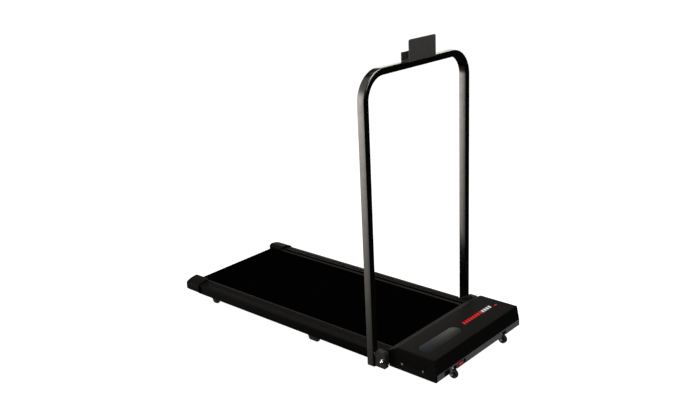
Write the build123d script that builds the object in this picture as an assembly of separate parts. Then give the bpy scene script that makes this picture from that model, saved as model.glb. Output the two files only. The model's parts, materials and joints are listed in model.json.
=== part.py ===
"""Folding walking treadmill with a fold-back handrail and a phone holder.

Frame: +X is the left of a walker who faces the motor hood, -Y points to the
motor hood, +Z is up and z = 0 is the floor. x = 0 is the middle of the belt
and y = 0 is half way between the wheels' front and the end caps' tails.
All sizes are millimetres.
"""
from build123d import *
import math
import os

# ---------------------------------------------------------------- driving sizes
base_length = 1250.0        # hood nose to the tails of the end caps
floor_gap = 33.0            # floor to the underside of rails and hood
deck_rise = 37.0            # underside of the rails to the walking surface
belt_width = 400.0
belt_thickness = 1.6
roller_radius = 16.0
roller_wall = 2.0
shaft_radius = 6.0
bearing_width = 8.0
deck_thickness = 12.0
deck_bars = 4               # crossbars under the deck
first_bar_from_roller = 105.0
last_bar_from_roller = 75.0

rail_width = 47.0
rail_rise = 6.0             # inner edge of the rail above the belt
rail_drop = 7.5             # how far the rail's top slopes down to the outside
rail_wall = 2.5
rail_edge = 3.0             # bevel along the rail's outer edge

tube_width = 28.0           # side tubes of the frame
tube_inset = 12.0           # outer face of the rail to the tube
tube_drop = 6.0             # walking surface to the top of the tube
tube_front = 14.0           # nose to the tube's front end
tube_tail = 16.0            # tail to the tube's rear end
tube_wall = 2.0
tube_corner = 3.0
bar_corner = 2.0            # rounding of the cross bars' edges
tension_plate = 3.0         # wall in the tube's tail that the tension bolt presses on
tension_travel = 14.0       # slot in front of the rear shaft
tension_bolt_radius = 3.0
tension_head_radius = 5.0
tension_head_length = 6.0
tension_socket_radius = 2.9
cross_height = 15.0
cross_depth = 30.0
cushion_height = 2.7
cushion_radius = 11.0
bar_depth = 20.0            # bars across the motor bay
bar_height = 20.0
bar_notch_floor = 3.5       # metal left under the drive belt's notch

cap_length = 80.0
cap_rise = 13.0             # crest of the end cap above the belt
cap_wall = 2.5
cap_round = 9.0             # rounding of the cap's tail
cap_proud = 7.5             # how far the cap stands out past the rail

hood_rise = 36.0            # flat top of the hood above the walking surface
hood_wall = 2.5
hood_taper = 4.5            # how far each side leans in from foot to top
hood_top_length = 161.0     # nose to the rear edge of the flat top
hood_side_length = 193.0    # nose to the rear edge of the side walls
hood_lip_length = 207.0     # nose to the tail of the sloping lip
hood_lip_rise = 10.0        # tail of the lip above the belt
front_lip_height = 21.0     # lighter lip under the hood's front wall
hood_ridge = 4.0            # rounding of the hood's top edges
nose_lean = 9.0             # how far the front wall leans back over its height
boss_x = 60.0               # screw bosses behind the front wall
boss_radius = 4.0
pan_wall = 2.0
pan_drop = 3.5              # underside of hood and pan below the rails
vent_slots = 9
vent_pitch = 20.0
wheel_room = 13.0           # half width of the pan's cut-out for a wheel fork
pan_lip = 3.0
screw_radius = 2.0
screw_head_radius = 4.0
pan_screw_radius = 1.6
first_screw_from_nose = 55.0
last_screw_from_nose = 140.0

inlet_from_tube = 54.0      # outer face of the side tube to the inlet's middle
switch_from_inlet = 74.0
breaker_from_switch = 26.0
switch_width = 18.4
switch_height = 12.4
rocker_tilt = 6.0           # the rocker rests this far over, and swings as far the other way
inlet_width = 27.4
inlet_height = 16.4
breaker_radius = 5.3
button_radius = 3.0
button_travel = 2.0

window_side_gap = 28.0      # edge of the hood's top to the window
window_x1 = -17.0
window_width = 50.0
window_y_from_nose = 79.0
window_thickness = 1.5
window_ledge = 3.0          # rim of the hood that carries the window

wheel_radius = 16.0
wheel_width = 12.0
wheel_hub_radius = 6.5
wheel_side_gap = 1.0        # wheel to fork cheek
wheel_from_tube = 70.0      # inner face of the side tube to the wheel's middle
wheel_proud = 11.0          # how far the wheels stand out in front of the nose
axle_radius = 3.0
fork_wall = 2.5
foot_width = 24.0
foot_taper = 12.0           # how much smaller the sole is than the top
foot_from_tube = 18.0       # outer face of the side tube to the foot's middle
rear_foot_length = 32.0
rear_foot_from_tail = 143.0
middle_foot_length = 50.0
middle_foot_from_tail = 687.0

rail_tube_x = 22.0          # handrail tube section across the walker
rail_tube_y = 32.0          # handrail tube section along the belt
rail_tube_wall = 1.5
rail_tube_corner = 4.5
handrail_top = 1016.0
handrail_drop = 8.0         # how far the legs reach below the rails
handrail_bend = 85.0        # bend radius of the tube's centre line
lock_from_hood = 8.0        # hood's side wall to the lock stud
pivot_rise = 19.0           # pivot above the underside of the rails
pivot_radius = 5.0
bush_radius = 7.0
pivot_boss_radius = 12.0
washer_radius = 9.5
clip_groove = 1.3           # width of the clip's groove in the pivot stud
clip_bore = 4.1
lock_arm = 50.0             # pivot to lock stud
lock_radius = 4.0
plug_length = 12.0
plug_flange = 2.0
lock_head_radius = 6.5
lock_head_length = 5.5
nut_depth = 8.0             # how far the lock stud reaches into its nut
nut_flange = 1.5
nut_flange_radius = 8.5
nut_radius = 7.4            # across the corners of the hexagon, halved
nut_height = 5.0
nut_dome_radius = 5.6
bracket_web = 5.0
bracket_height = 49.0
lug_margin = 10.0           # lock stud to the lug's front face
lug_recess = 5.0            # lug's outer face behind the leg's
lug_rise = 51.0             # top of the lug above the underside of the rails

holder_half = 71.0
holder_wall = 3.0
holder_height = 71.0        # back plate above the top bar
holder_lip_height = 29.0
holder_forward = 7.0        # holder's middle ahead of the bar's
holder_corner = 6.0
pad_thickness = 1.2
holder_screw_x = 45.0

motor_radius = 30.0
motor_wall = 2.5
motor_length = 138.0
motor_from_nose = 85.0
strap_wall = 1.5
ear_height = 2.5            # strap's screw ears
ear_length = 10.4
motor_headroom = 1.5        # strap to the hood's inner face
motor_shaft_radius = 4.0
motor_pulley_radius = 7.75
armature_slots = 12
fan_blades = 8
fan_radius = 24.0
saddle_width = 6.0
tray_x1 = -30.0
tray_wall = 1.5
board_thickness = 1.6
post_height = 5.5
sensor_height = 5.0
wire_radius = 1.5
roller_pulley_radius = 15.5  # twice the motor pulley: the roller turns at half speed
drive_belt_width = 9.0
drive_belt_thickness = 2.2

# ------------------------------------------------------------ named clearances
run_fit = 0.05              # radial clearance of a turning shaft
body_gap = 0.3              # between pieces that move past each other
seat_gap = 0.25             # around a piece that drops into a recess
belt_gap = 0.3              # belt to roller and belt to pulley
slot_gap = 0.3              # lock stud in its open slot
rail_belt_gap = 15.0        # belt edge to rail, where the roller ends sit
cap_belt_gap = 3.0          # belt edge to end cap
leg_gap = 1.3               # side rail to handrail leg
tray_gap = 0.3              # hood side wall to base pan

# -------------------------------------------------------------- derived places
y_tail = (base_length + wheel_proud) / 2
y_nose = y_tail - base_length
belt_top = floor_gap + deck_rise
hood_top = belt_top + hood_rise
pan_z0 = floor_gap - pan_drop
hood_front_drop = floor_gap + front_lip_height
rail_inner_x = belt_width / 2 + rail_belt_gap
rail_outer_x = rail_inner_x + rail_width
rail_top_inner = belt_top + rail_rise
rail_top_outer = rail_top_inner - rail_drop
tube_outer_x = rail_outer_x - tube_inset
tube_inner_x = tube_outer_x - tube_width
tube_z0 = floor_gap + pan_wall + 1.0
tube_z1 = belt_top - tube_drop
tube_mid_x = (tube_outer_x + tube_inner_x) / 2
tube_y0 = y_nose + tube_front
tube_y1 = y_tail - tube_tail
cap_inner_x = belt_width / 2 + cap_belt_gap
cap_outer_x = rail_outer_x + cap_proud
cap_crest = belt_top + cap_rise
hood_foot_half = rail_outer_x - 5.0
hood_top_half = hood_foot_half - hood_taper
hood_lip_top = belt_top + hood_lip_rise
foot_x = tube_outer_x - foot_from_tube
roller_z = belt_top - belt_thickness - belt_gap - roller_radius
deck_top = belt_top - belt_thickness - 0.2
cushion_x = tube_inner_x - 37.0
cross_z1 = deck_top - deck_thickness - cushion_height
cross_z0 = cross_z1 - cross_height
belt_outer_radius = roller_radius + belt_gap + belt_thickness
roller_half = belt_width / 2 + 2.0
roller_bore = roller_radius - roller_wall
y_front_roller = y_nose + hood_lip_length - 29.5
y_rear_roller = y_tail - 11.0 - belt_outer_radius
y_lock = y_nose + hood_side_length + lock_from_hood
y_pivot = y_lock + lock_arm
lug_y0 = y_lock - lug_margin
y_motor = y_nose + motor_from_nose
motor_z = hood_top - hood_wall - motor_headroom - strap_wall - motor_radius
pivot_z = floor_gap + pivot_rise
handrail_bottom = floor_gap - handrail_drop
bracket_top = floor_gap + bracket_height
lug_top = floor_gap + lug_rise
inlet_x = inlet_from_tube - tube_outer_x
switch_x = inlet_x + switch_from_inlet
breaker_x = switch_x + breaker_from_switch
window_x0 = window_side_gap - hood_top_half
wheel_x = tube_inner_x - wheel_from_tube
handrail_outer_x = rail_outer_x + leg_gap + rail_tube_x
handrail_x = handrail_outer_x - rail_tube_x / 2
leg_inner_x = handrail_outer_x - rail_tube_x
lug_outer_x = handrail_outer_x - lug_recess
clip_x = leg_inner_x + rail_tube_wall + 8.0
leg_front_y = y_pivot - rail_tube_y / 2
leg_rear_y = y_pivot + rail_tube_y / 2
bar_z = handrail_top - rail_tube_x / 2
holder_top = handrail_top + holder_height
holder_lip_top = handrail_top + holder_lip_height
pulley_x0 = belt_width / 2 + 4.0
pulley_x1 = pulley_x0 + drive_belt_width + 2.0
motor_x1 = pulley_x0 - 18.0
motor_x0 = motor_x1 - motor_length
front_bar_y = y_nose + 28.0
rear_bar_y = y_nose + 140.0
bar_z1 = tube_z0 + bar_height
bay_floor = bar_z1 - 9.0    # top of the wheel forks' back plates
rail_y0 = y_nose + hood_side_length + 0.5
rail_y1 = y_tail - cap_length + 12.0
bracket_y0 = rail_y0
bracket_y1 = y_pivot + 17.0
web_x1 = rail_outer_x
web_x0 = web_x1 - bracket_web
panel_z = (pan_z0 + hood_front_drop) / 2
boss_y = y_nose + nose_lean + 2.5
screw_seat_x = hood_foot_half - 3.0
tray_x0 = 17.0 - tube_inner_x
board_z = bar_z1 + tray_wall + post_height
pan_half = tube_outer_x + tray_gap
wheel_y = y_nose + wheel_radius - wheel_proud

parts = {}


# --------------------------------------------------------------------- helpers
def block(x0, x1, y0, y1, z0, z1):
    """Box from its six faces."""
    corner = Align.MIN, Align.MIN, Align.MIN
    return Pos(x0, y0, z0) * Box(x1 - x0, y1 - y0, z1 - z0, align=corner)


def rod_x(x0, x1, y, z, radius):
    """Cylinder along X."""
    place = Pos((x0 + x1) / 2, y, z) * Rot(0, 90, 0)
    return place * Cylinder(radius, abs(x1 - x0))


def rod_y(y0, y1, x, z, radius):
    """Cylinder along Y."""
    place = Pos(x, (y0 + y1) / 2, z) * Rot(90, 0, 0)
    return place * Cylinder(radius, abs(y1 - y0))


def rod_z(z0, z1, x, y, radius):
    """Cylinder along Z."""
    return Pos(x, y, (z0 + z1) / 2) * Cylinder(radius, abs(z1 - z0))


def ring_x(x0, x1, y, z, outer, inner):
    """Ring along X."""
    return rod_x(x0, x1, y, z, outer) - rod_x(x0 - 1, x1 + 1, y, z, inner)


def side_prism(points, x0, x1):
    """Side-view outline, a list of (y, z), extruded from x0 to x1."""
    face = make_face(Polyline(*[(0, y, z) for y, z in points], close=True))
    return Pos(x0, 0, 0) * extrude(face, amount=x1 - x0, dir=(1, 0, 0))


def end_prism(points, y0, y1):
    """End-view outline, a list of (x, z), extruded from y0 to y1."""
    face = make_face(Polyline(*[(x, 0, z) for x, z in points], close=True))
    return Pos(0, y0, 0) * extrude(face, amount=y1 - y0, dir=(0, 1, 0))


def loop_x(x0, x1, y0, z0, r0, y1, z1, r1):
    """Solid swept by a taut band round two rollers along X: the hull of two discs."""
    span = math.hypot(y1 - y0, z1 - z0)
    lean = math.atan2(z1 - z0, y1 - y0)
    spread = math.acos((r0 - r1) / span)
    points = []
    for y, z, radius, sign in ((y0, z0, r0, 1), (y1, z1, r1, 1), (y1, z1, r1, -1), (y0, z0, r0, -1)):
        angle = lean + sign * spread
        points.append((y + radius * math.cos(angle), z + radius * math.sin(angle)))
    body = side_prism(points, x0, x1)
    return body + rod_x(x0, x1, y0, z0, r0) + rod_x(x0, x1, y1, z1, r1)


def mirrored(shape):
    """The same piece on the other side of the belt."""
    return mirror(shape, about=Plane.YZ)


def keep(name, *shapes):
    """Store one node: a single solid, or a group of separate solids."""
    solids = [solid for shape in shapes for solid in shape.solids()]
    parts[name] = solids[0] if len(solids) == 1 else Compound(children=solids)


# ----------------------------------------------------------------------- frame
def side_tube():
    """Hollow square tube on the left, with the shaft holes and the tension plate."""
    tube = block(tube_inner_x, tube_outer_x, tube_y0, tube_y1, tube_z0, tube_z1)
    tube = fillet(tube.edges().filter_by(Axis.Y), tube_corner)
    hollow = block(tube_inner_x + tube_wall, tube_outer_x - tube_wall, tube_y0 - 1, tube_y1 - tension_plate,
                   tube_z0 + tube_wall, tube_z1 - tube_wall)
    inner_wall = tube_inner_x - 1, tube_inner_x + tube_wall + 1
    shaft_hole = rod_x(*inner_wall, y_front_roller, roller_z, shaft_radius)
    slot = block(*inner_wall, y_rear_roller - tension_travel, y_rear_roller + shaft_radius + 2,
                 roller_z - shaft_radius - 0.1, roller_z + shaft_radius + 0.1)
    bolt_hole = rod_y(tube_y1 - tension_plate - 1, tube_y1 + 1, tube_mid_x, roller_z,
                      tension_bolt_radius + 0.1)
    return tube - hollow - shaft_hole - slot - bolt_hole


def frame():
    left = side_tube()
    keep("frame_tube_left", left)
    keep("frame_tube_right", mirrored(left))
    bars = []
    for y in cross_places():
        bar = block(-tube_inner_x, tube_inner_x, y - cross_depth / 2, y + cross_depth / 2,
                    cross_z0, cross_z1)
        bars.append(fillet(bar.edges().filter_by(Axis.X), bar_corner))
    keep("deck_crossbars", *bars)
    bay = []
    for y in (front_bar_y, rear_bar_y):
        bar = block(-tube_inner_x, tube_inner_x, y - bar_depth / 2, y + bar_depth / 2, tube_z0, bar_z1)
        bay.append(fillet(bar.edges().filter_by(Axis.X), bar_corner))
    bay[1] -= block(pulley_x0 - 3.0, pulley_x1 + 3.0, rear_bar_y - bar_depth, rear_bar_y + bar_depth,
                    tube_z0 + bar_notch_floor, hood_top)
    keep("motor_bay_bars", *bay)


def cross_places():
    """Bars under the deck, evenly spread between the rollers."""
    first = y_front_roller + first_bar_from_roller
    last = y_rear_roller - last_bar_from_roller
    return [first + (last - first) * step / (deck_bars - 1) for step in range(deck_bars)]


# ------------------------------------------------------------- deck and rollers
def deck():
    y0 = y_front_roller + belt_outer_radius + 6.0
    y1 = y_rear_roller - belt_outer_radius - 6.0
    board = block(-tube_inner_x + 1.5, tube_inner_x - 1.5, y0, y1, deck_top - deck_thickness, deck_top)
    front_top = board.edges().filter_by(Axis.X).group_by(Axis.Z)[-1]
    keep("deck_board", fillet(front_top, 4.0))
    pads = []
    for y in cross_places():
        for x in (-cushion_x, -cushion_x / 3, cushion_x / 3, cushion_x):
            pads.append(rod_z(cross_z1, cross_z1 + cushion_height, x, y, cushion_radius))
    keep("deck_cushions", *pads)
    outer = loop_x(-belt_width / 2, belt_width / 2, y_front_roller, roller_z, belt_outer_radius,
                   y_rear_roller, roller_z, belt_outer_radius)
    inner = loop_x(-belt_width / 2 - 1, belt_width / 2 + 1, y_front_roller, roller_z,
                   roller_radius + belt_gap, y_rear_roller, roller_z, roller_radius + belt_gap)
    keep("running_belt", outer - inner)


def roller(name, y):
    """Steel roller tube; returns its fixed shaft and the bearing in each end."""
    tube = rod_x(-roller_half, roller_half, y, roller_z, roller_radius)
    keep(name + "_roller", tube - rod_x(-roller_half - 1, roller_half + 1, y, roller_z, roller_bore))
    shaft = rod_x(-tube_outer_x + tube_wall + 3, tube_outer_x - tube_wall - 3, y, roller_z, shaft_radius)
    if name == "rear":
        for x in (-tube_mid_x, tube_mid_x):
            shaft -= rod_y(y - shaft_radius - 1, y + shaft_radius + 1, x, roller_z, tension_bolt_radius)
    bearings = []
    for x0 in (-roller_half + 1, roller_half - 1 - bearing_width):
        bearing = ring_x(x0, x0 + bearing_width, y, roller_z, roller_bore - run_fit, shaft_radius)
        for face in (x0, x0 + bearing_width):
            bearing -= ring_x(face - 0.6, face + 0.6, y, roller_z, roller_bore - 2.5, shaft_radius + 2.2)
        bearings.append(bearing)
    return shaft, bearings


def rollers():
    front_shaft, front_bearings = roller("front", y_front_roller)
    rear_shaft, rear_bearings = roller("rear", y_rear_roller)
    keep("roller_shafts", front_shaft, rear_shaft)
    keep("roller_bearings", *front_bearings, *rear_bearings)


def tension_bolts():
    """Hex-socket bolts that pull each end of the rear shaft towards the tail."""
    bolts = []
    y_head = tube_y1 + tension_head_length
    for x in (-tube_mid_x, tube_mid_x):
        bolt = rod_y(y_rear_roller - shaft_radius - 4, tube_y1, x, roller_z, tension_bolt_radius)
        head = rod_y(tube_y1, y_head, x, roller_z, tension_head_radius)
        hexagon = RegularPolygon(tension_socket_radius, 6)
        socket = Pos(x, y_head, roller_z) * Rot(90, 0, 0) * extrude(hexagon, 3.5, both=True)
        bolts.append(bolt + head - socket)
    keep("belt_tension_bolts", *bolts)


# ----------------------------------------------------------- rails and end caps
def side_rail():
    """Footrest cover on the left: a sloping top, an outer wall and an inner lip."""
    top_slope = (rail_top_outer - rail_top_inner) / rail_width
    round_x = rail_outer_x - rail_edge
    outer = [(rail_inner_x, deck_top + 0.3), (rail_inner_x, rail_top_inner - 1.5),
             (rail_inner_x + 1.5, rail_top_inner),
             (round_x, rail_top_inner + top_slope * (rail_width - rail_edge)),
             (rail_outer_x, rail_top_outer - 2.5), (rail_outer_x, floor_gap),
             (rail_outer_x - rail_wall, floor_gap), (rail_outer_x - rail_wall, rail_top_outer - 3.6),
             (rail_inner_x + rail_wall, rail_top_inner - rail_wall - 0.3),
             (rail_inner_x + rail_wall, deck_top + 0.3)]
    rail = end_prism(outer, rail_y0, rail_y1)
    hinge_room = block(tube_outer_x - 0.5, rail_outer_x + 1, rail_y0 - 1, bracket_y1 + 0.5,
                       floor_gap - 1, rail_top_inner + 1)
    return rail - hinge_room


def cap_outline(inset):
    """End view of the left end cap, inset by a wall; x is counted from the cap's inner face."""
    crest_x = 15.0
    width = cap_outer_x - cap_inner_x
    low = floor_gap + 3.0 + inset
    x0 = inset
    x1 = width - inset
    outline = Polyline((x0, 0, low), (x0, 0, cap_crest - 9.0), (crest_x - 4.0, 0, cap_crest - inset))
    shoulder = Spline((crest_x - 4.0, 0, cap_crest - inset), (crest_x + 8.0, 0, cap_crest - 0.6 - inset),
                      (width - 15.0, 0, cap_crest - 7.0 - inset), (x1, 0, cap_crest - 24.0),
                      tangents=[(1, 0, 0), (0, 0, -1)])
    foot = Polyline((x1, 0, cap_crest - 24.0), (x1, 0, low + 6.0), (x1 - 6.0, 0, low), (x0, 0, low))
    return make_face([outline, shoulder, foot])


def end_cap():
    """Hollow moulded cap over the left rear corner, open towards the rail."""
    y0 = y_tail - cap_length
    shell = extrude(cap_outline(0.0), amount=cap_length, dir=(0, 1, 0))
    tail = shell.faces().sort_by(Axis.Y)[-1]
    shell = fillet(tail.edges(), cap_round)
    hollow = extrude(cap_outline(cap_wall), amount=cap_length - cap_round - 1.0, dir=(0, 1, 0))
    shell = Pos(cap_inner_x, y0, 0) * (shell - hollow)
    belt_room = block(0, cap_inner_x + cap_wall + 1, y0 - 1, y_rear_roller + belt_outer_radius + 3, 0,
                      belt_top + 1.5)
    tube_room = block(tube_inner_x - 1, tube_outer_x + 1, y0 - 1, tube_y1 + tension_head_length + 2,
                      tube_z0 - 1, tube_z1 + 1)
    shaft_room = rod_x(0, tube_mid_x, y_rear_roller, roller_z, shaft_radius + 1)
    key_hole = rod_y(tube_y1, y_tail + 1, tube_mid_x, roller_z, tension_head_radius + 0.6)
    rail_room = rail_envelope(y0 - 1, rail_y1 + 0.5)
    return shell - belt_room - tube_room - shaft_room - key_hole - rail_room


def rail_envelope(y0, y1):
    """Space of the left side rail with a small gap, for what slips over it."""
    gap = seat_gap
    points = [(rail_inner_x - gap, deck_top - 6), (rail_inner_x - gap, rail_top_inner + gap),
              (rail_outer_x - 2.5, rail_top_outer + gap + 0.6), (rail_outer_x + gap, rail_top_outer - 2.2),
              (rail_outer_x + gap, floor_gap - 1), (tube_inner_x - 1, floor_gap - 1),
              (tube_inner_x - 1, deck_top - 6)]
    return end_prism(points, y0, y1)


def rails_and_caps():
    rail = side_rail()
    keep("side_rail_left", rail)
    keep("side_rail_right", mirrored(rail))
    cap = end_cap()
    keep("end_cap_left", cap)
    keep("end_cap_right", mirrored(cap))


# --------------------------------------------------------------- feet and wheels
def feet():
    def foot(length, y):
        pads = []
        for side in (-1, 1):
            sole = RectangleRounded(foot_width - foot_taper, length - foot_taper, 5)
            low = Pos(side * foot_x, y, 0) * sole
            high = Pos(side * foot_x, y, tube_z0) * RectangleRounded(foot_width, length, 5)
            pads.append(loft([low, high]))
        return pads

    rear = foot(rear_foot_length, y_tail - rear_foot_from_tail)
    keep("rubber_feet", *rear, *foot(middle_foot_length, y_tail - middle_foot_from_tail))


def transport_wheel(side, name):
    """Small hard wheel on a bolt between the two cheeks of a steel fork."""
    x = side * wheel_x
    wheel = rod_x(x - wheel_width / 2, x + wheel_width / 2, wheel_y, wheel_radius, wheel_radius)
    wheel = fillet(wheel.edges().filter_by(GeomType.CIRCLE), 2.0)
    for face in (x - wheel_width / 2, x + wheel_width / 2):
        wheel -= ring_x(face - 1.5, face + 1.5, wheel_y, wheel_radius, wheel_radius - 4.0, wheel_hub_radius)
    bore = rod_x(x - wheel_width, x + wheel_width, wheel_y, wheel_radius, axle_radius + run_fit)
    keep("wheel_" + name, wheel - bore)


def wheels():
    forks = []
    axles = []
    y_bar = front_bar_y - bar_depth / 2
    knee_z = floor_gap - 3.0
    inner = wheel_width / 2 + wheel_side_gap
    outer = inner + fork_wall
    cheek = [(wheel_y - 8, wheel_radius - 6), (wheel_y - 8, wheel_radius + 6), (wheel_y - 4, knee_z),
             (y_bar - 4, bay_floor), (y_bar, bay_floor), (y_bar, tube_z0), (wheel_y + 6, knee_z),
             (wheel_y + 7, wheel_radius - 6), (wheel_y + 3, wheel_radius - 9),
             (wheel_y - 4, wheel_radius - 9)]
    for side, name in ((-1, "right"), (1, "left")):
        x = side * wheel_x
        transport_wheel(side, name)
        fork = side_prism(cheek, x - outer, x - inner) + side_prism(cheek, x + inner, x + outer)
        fork += block(x - outer, x + outer, y_bar - 3, y_bar, tube_z0, bay_floor)
        bolt = rod_x(x - outer - 0.5, x + outer + 0.5, wheel_y, wheel_radius, axle_radius)
        fork -= bolt
        forks.append(fork)
        head = rod_x(x - outer - 3, x - outer, wheel_y, wheel_radius, axle_radius + 2)
        nut = Pos(x + outer, wheel_y, wheel_radius) * Rot(0, 90, 0) * extrude(RegularPolygon(5.5, 6), 3.5)
        axles.append(bolt + head + nut)
    keep("wheel_forks", *forks)
    keep("wheel_axle_bolts", *axles)


# ------------------------------------------------------------------- motor hood
def hood_body(inset):
    """Closed wedge form of the hood, shrunk by a wall thickness."""
    top = hood_top - inset
    side = [(y_nose + inset, 0), (y_nose + inset, hood_front_drop), (y_nose + nose_lean + inset, top),
            (y_nose + hood_top_length - inset, top), (y_nose + hood_lip_length - inset, hood_lip_top - inset),
            (y_nose + hood_lip_length - inset, 0)]
    flare = (hood_foot_half - hood_top_half) / (hood_top - floor_gap)
    foot_half = hood_foot_half + flare * floor_gap - inset
    end = [(-foot_half, 0), (foot_half, 0), (hood_top_half - inset, top), (-hood_top_half + inset, top)]
    return side_prism(side, -foot_half, foot_half) & end_prism(end, y_nose - 1, y_nose + hood_lip_length + 1)


def window_outline(margin):
    """Stadium outline of the display window, grown by a margin."""
    length = window_x1 - window_x0 + 2 * margin
    width = window_width + 2 * margin
    centre = Pos((window_x0 + window_x1) / 2, y_nose + window_y_from_nose, 0)
    return centre * SlotOverall(length, width)


def window_prism(margin, z0, z1):
    return Pos(0, 0, z0) * extrude(window_outline(margin), amount=z1 - z0)


def hood():
    outer = hood_body(0.0)
    ridges = [edge for edge in outer.edges() if edge.center().Z > hood_lip_top + 1]
    outer = fillet(ridges, hood_ridge)
    shell = outer - hood_body(hood_wall)
    y_side = y_nose + hood_side_length
    y_lip = y_nose + hood_lip_length
    half = hood_foot_half + 10.0
    shell -= block(-half, half, y_nose - 1, y_lip + 1, -1, pan_z0)
    shell -= block(-pan_half - 0.5, pan_half + 0.5, y_nose - 1, y_nose + 12.0, 0, hood_front_drop)
    shell -= block(-half, half, y_side, y_lip + 1, 0, belt_top + 2.5)
    for side in (-1, 1):
        rail_room = block(rail_inner_x - 1, half, y_side, y_lip + 1, 0, rail_top_inner + 0.8)
        rail_room += block(tube_outer_x + 0.5, half, y_side, y_lip + 1, 0, hood_top)
        shell -= rail_room if side > 0 else mirrored(rail_room)
    shell -= window_prism(seat_gap, hood_top - window_thickness - 0.1, hood_top + 1)
    shell -= window_prism(-window_ledge, hood_top - 10, hood_top + 1)
    for x in (-boss_x, boss_x):
        boss = rod_z(pan_z0 + pan_wall + 0.2, hood_top - 1.0, x, boss_y, boss_radius)
        boss &= hood_body(0.5)
        shell += boss
        shell -= rod_z(0, pan_z0 + 16.0, x, boss_y, pan_screw_radius)
    for side in (-1, 1):
        outside = side * (hood_foot_half + 2)
        for y in hood_screw_places():
            shell -= rod_x(side * (tube_outer_x - 1), outside, y, roller_z, screw_radius + 0.1)
            shell -= rod_x(side * screw_seat_x, outside, y, roller_z, screw_head_radius + 0.2)
    keep("motor_hood", shell)


def hood_screw_places():
    return y_nose + first_screw_from_nose, y_nose + last_screw_from_nose


def hood_screws():
    screws = []
    for side in (-1, 1):
        for y in hood_screw_places():
            head = rod_x(side * screw_seat_x, side * (screw_seat_x + 1.0), y, roller_z, screw_head_radius)
            stem = rod_x(side * (tube_outer_x + 0.1), side * (screw_seat_x + 0.5), y, roller_z, screw_radius)
            screws.append(head + stem)
    for x in (-boss_x, boss_x):
        stem = rod_z(pan_z0, pan_z0 + 14.0, x, boss_y, pan_screw_radius)
        head = rod_z(pan_z0 - 1.8, pan_z0, x, boss_y, pan_screw_radius + 1.9)
        screws.append(stem + head)
    keep("hood_screws", *screws)


def base_pan():
    """Tray under the motor bay with the front lip that carries inlet and switch."""
    y1 = rear_bar_y + 8.0
    floor = block(-pan_half, pan_half, y_nose, y1, pan_z0, pan_z0 + pan_wall)
    lip = block(-pan_half, pan_half, y_nose, y_nose + pan_lip, pan_z0, hood_front_drop - 0.4)
    pan = floor + lip
    pan = fillet(pan.edges().filter_by(Axis.X).group_by(Axis.Y)[0], 1.2)
    for x in (-wheel_x, wheel_x):
        pan -= block(x - wheel_room, x + wheel_room, y_nose - 1, front_bar_y - bar_depth / 2 + 1,
                     pan_z0 - 1, bay_floor + 1)
    for x in (-boss_x, boss_x):
        pan -= rod_z(0, pan_z0 + 5, x, boss_y, pan_screw_radius)
    pan -= switch_hole()
    pan -= inlet_hole()
    pan -= breaker_hole()
    for step in range(vent_slots):
        x = (step - 2) * vent_pitch
        pan -= block(x - 4, x + 4, y_motor - 25, y_motor + 27, pan_z0 - 1, pan_z0 + pan_wall + 1)
    keep("base_pan", pan)


def panel_block(x, half_width, half_height, y0, y1):
    """Box centred on one fitting of the front lip; y is counted from the nose."""
    return block(x - half_width, x + half_width, y_nose + y0, y_nose + y1,
                 panel_z - half_height, panel_z + half_height)


def switch_hole():
    return panel_block(switch_x, switch_width / 2 + seat_gap, switch_height / 2 + seat_gap, -2, 5)


def inlet_hole():
    return panel_block(inlet_x, inlet_width / 2 + seat_gap, inlet_height / 2 + seat_gap, -2, 5)


def breaker_hole():
    return rod_y(y_nose - 2, y_nose + 5, breaker_x, panel_z, breaker_radius + seat_gap)


def panel_fittings():
    """Rocker switch, mains inlet and reset breaker in the front lip."""
    half = switch_width / 2
    rise = switch_height / 2
    housing = panel_block(switch_x, half, rise, -0.5, 8.5)
    housing += panel_block(switch_x, half + 1.8, rise + 1.8, -1.5, 0)
    housing -= panel_block(switch_x, half - 1.2, rise - 1.0, -3, 7)
    keep("switch_housing", housing)
    reach = half - 2.3
    wing = [(-reach, -3.0), (0, -1.9), (reach, -3.0), (reach - 0.9, 3.4), (0, 4.6), (0.9 - reach, 3.4)]
    depth = rise - 1.0 - body_gap
    face = make_face(Polyline(*[(x, y, -depth) for x, y in wing], close=True))
    rocker = Rot(0, 0, rocker_tilt) * extrude(face, amount=2 * depth, dir=(0, 0, 1))
    keep("power_rocker", Pos(switch_x, y_nose, panel_z) * rocker)

    half = inlet_width / 2
    rise = inlet_height / 2
    inlet = panel_block(inlet_x, half, rise, 0, 9.5)
    inlet += panel_block(inlet_x, half + 2.3, rise + 1.6, -1.8, 0)
    inlet -= panel_block(inlet_x, half - 2.2, rise - 2.2, -3, 7.5)
    pins = []
    for dx, dz in ((-7.0, -1.5), (0.0, 1.5), (7.0, -1.5)):
        x = inlet_x + dx
        z = panel_z + dz
        pins.append(block(x - 1, x + 1, y_nose + 1.5, y_nose + 7.4, z - 2, z + 2))
    keep("mains_inlet", inlet, *pins)

    collar = rod_y(y_nose - 1.5, y_nose, breaker_x, panel_z, breaker_radius + 2.2)
    collar += rod_y(y_nose, y_nose + 9, breaker_x, panel_z, breaker_radius)
    bore = button_radius + body_gap
    keep("breaker_body", collar - rod_y(y_nose - 3, y_nose + 7.5, breaker_x, panel_z, bore))
    button = rod_y(y_nose - button_travel - 2.0, y_nose + 5.0, breaker_x, panel_z, button_radius)
    keep("breaker_button", fillet(button.edges().group_by(Axis.Y)[0], 0.8))


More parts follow.
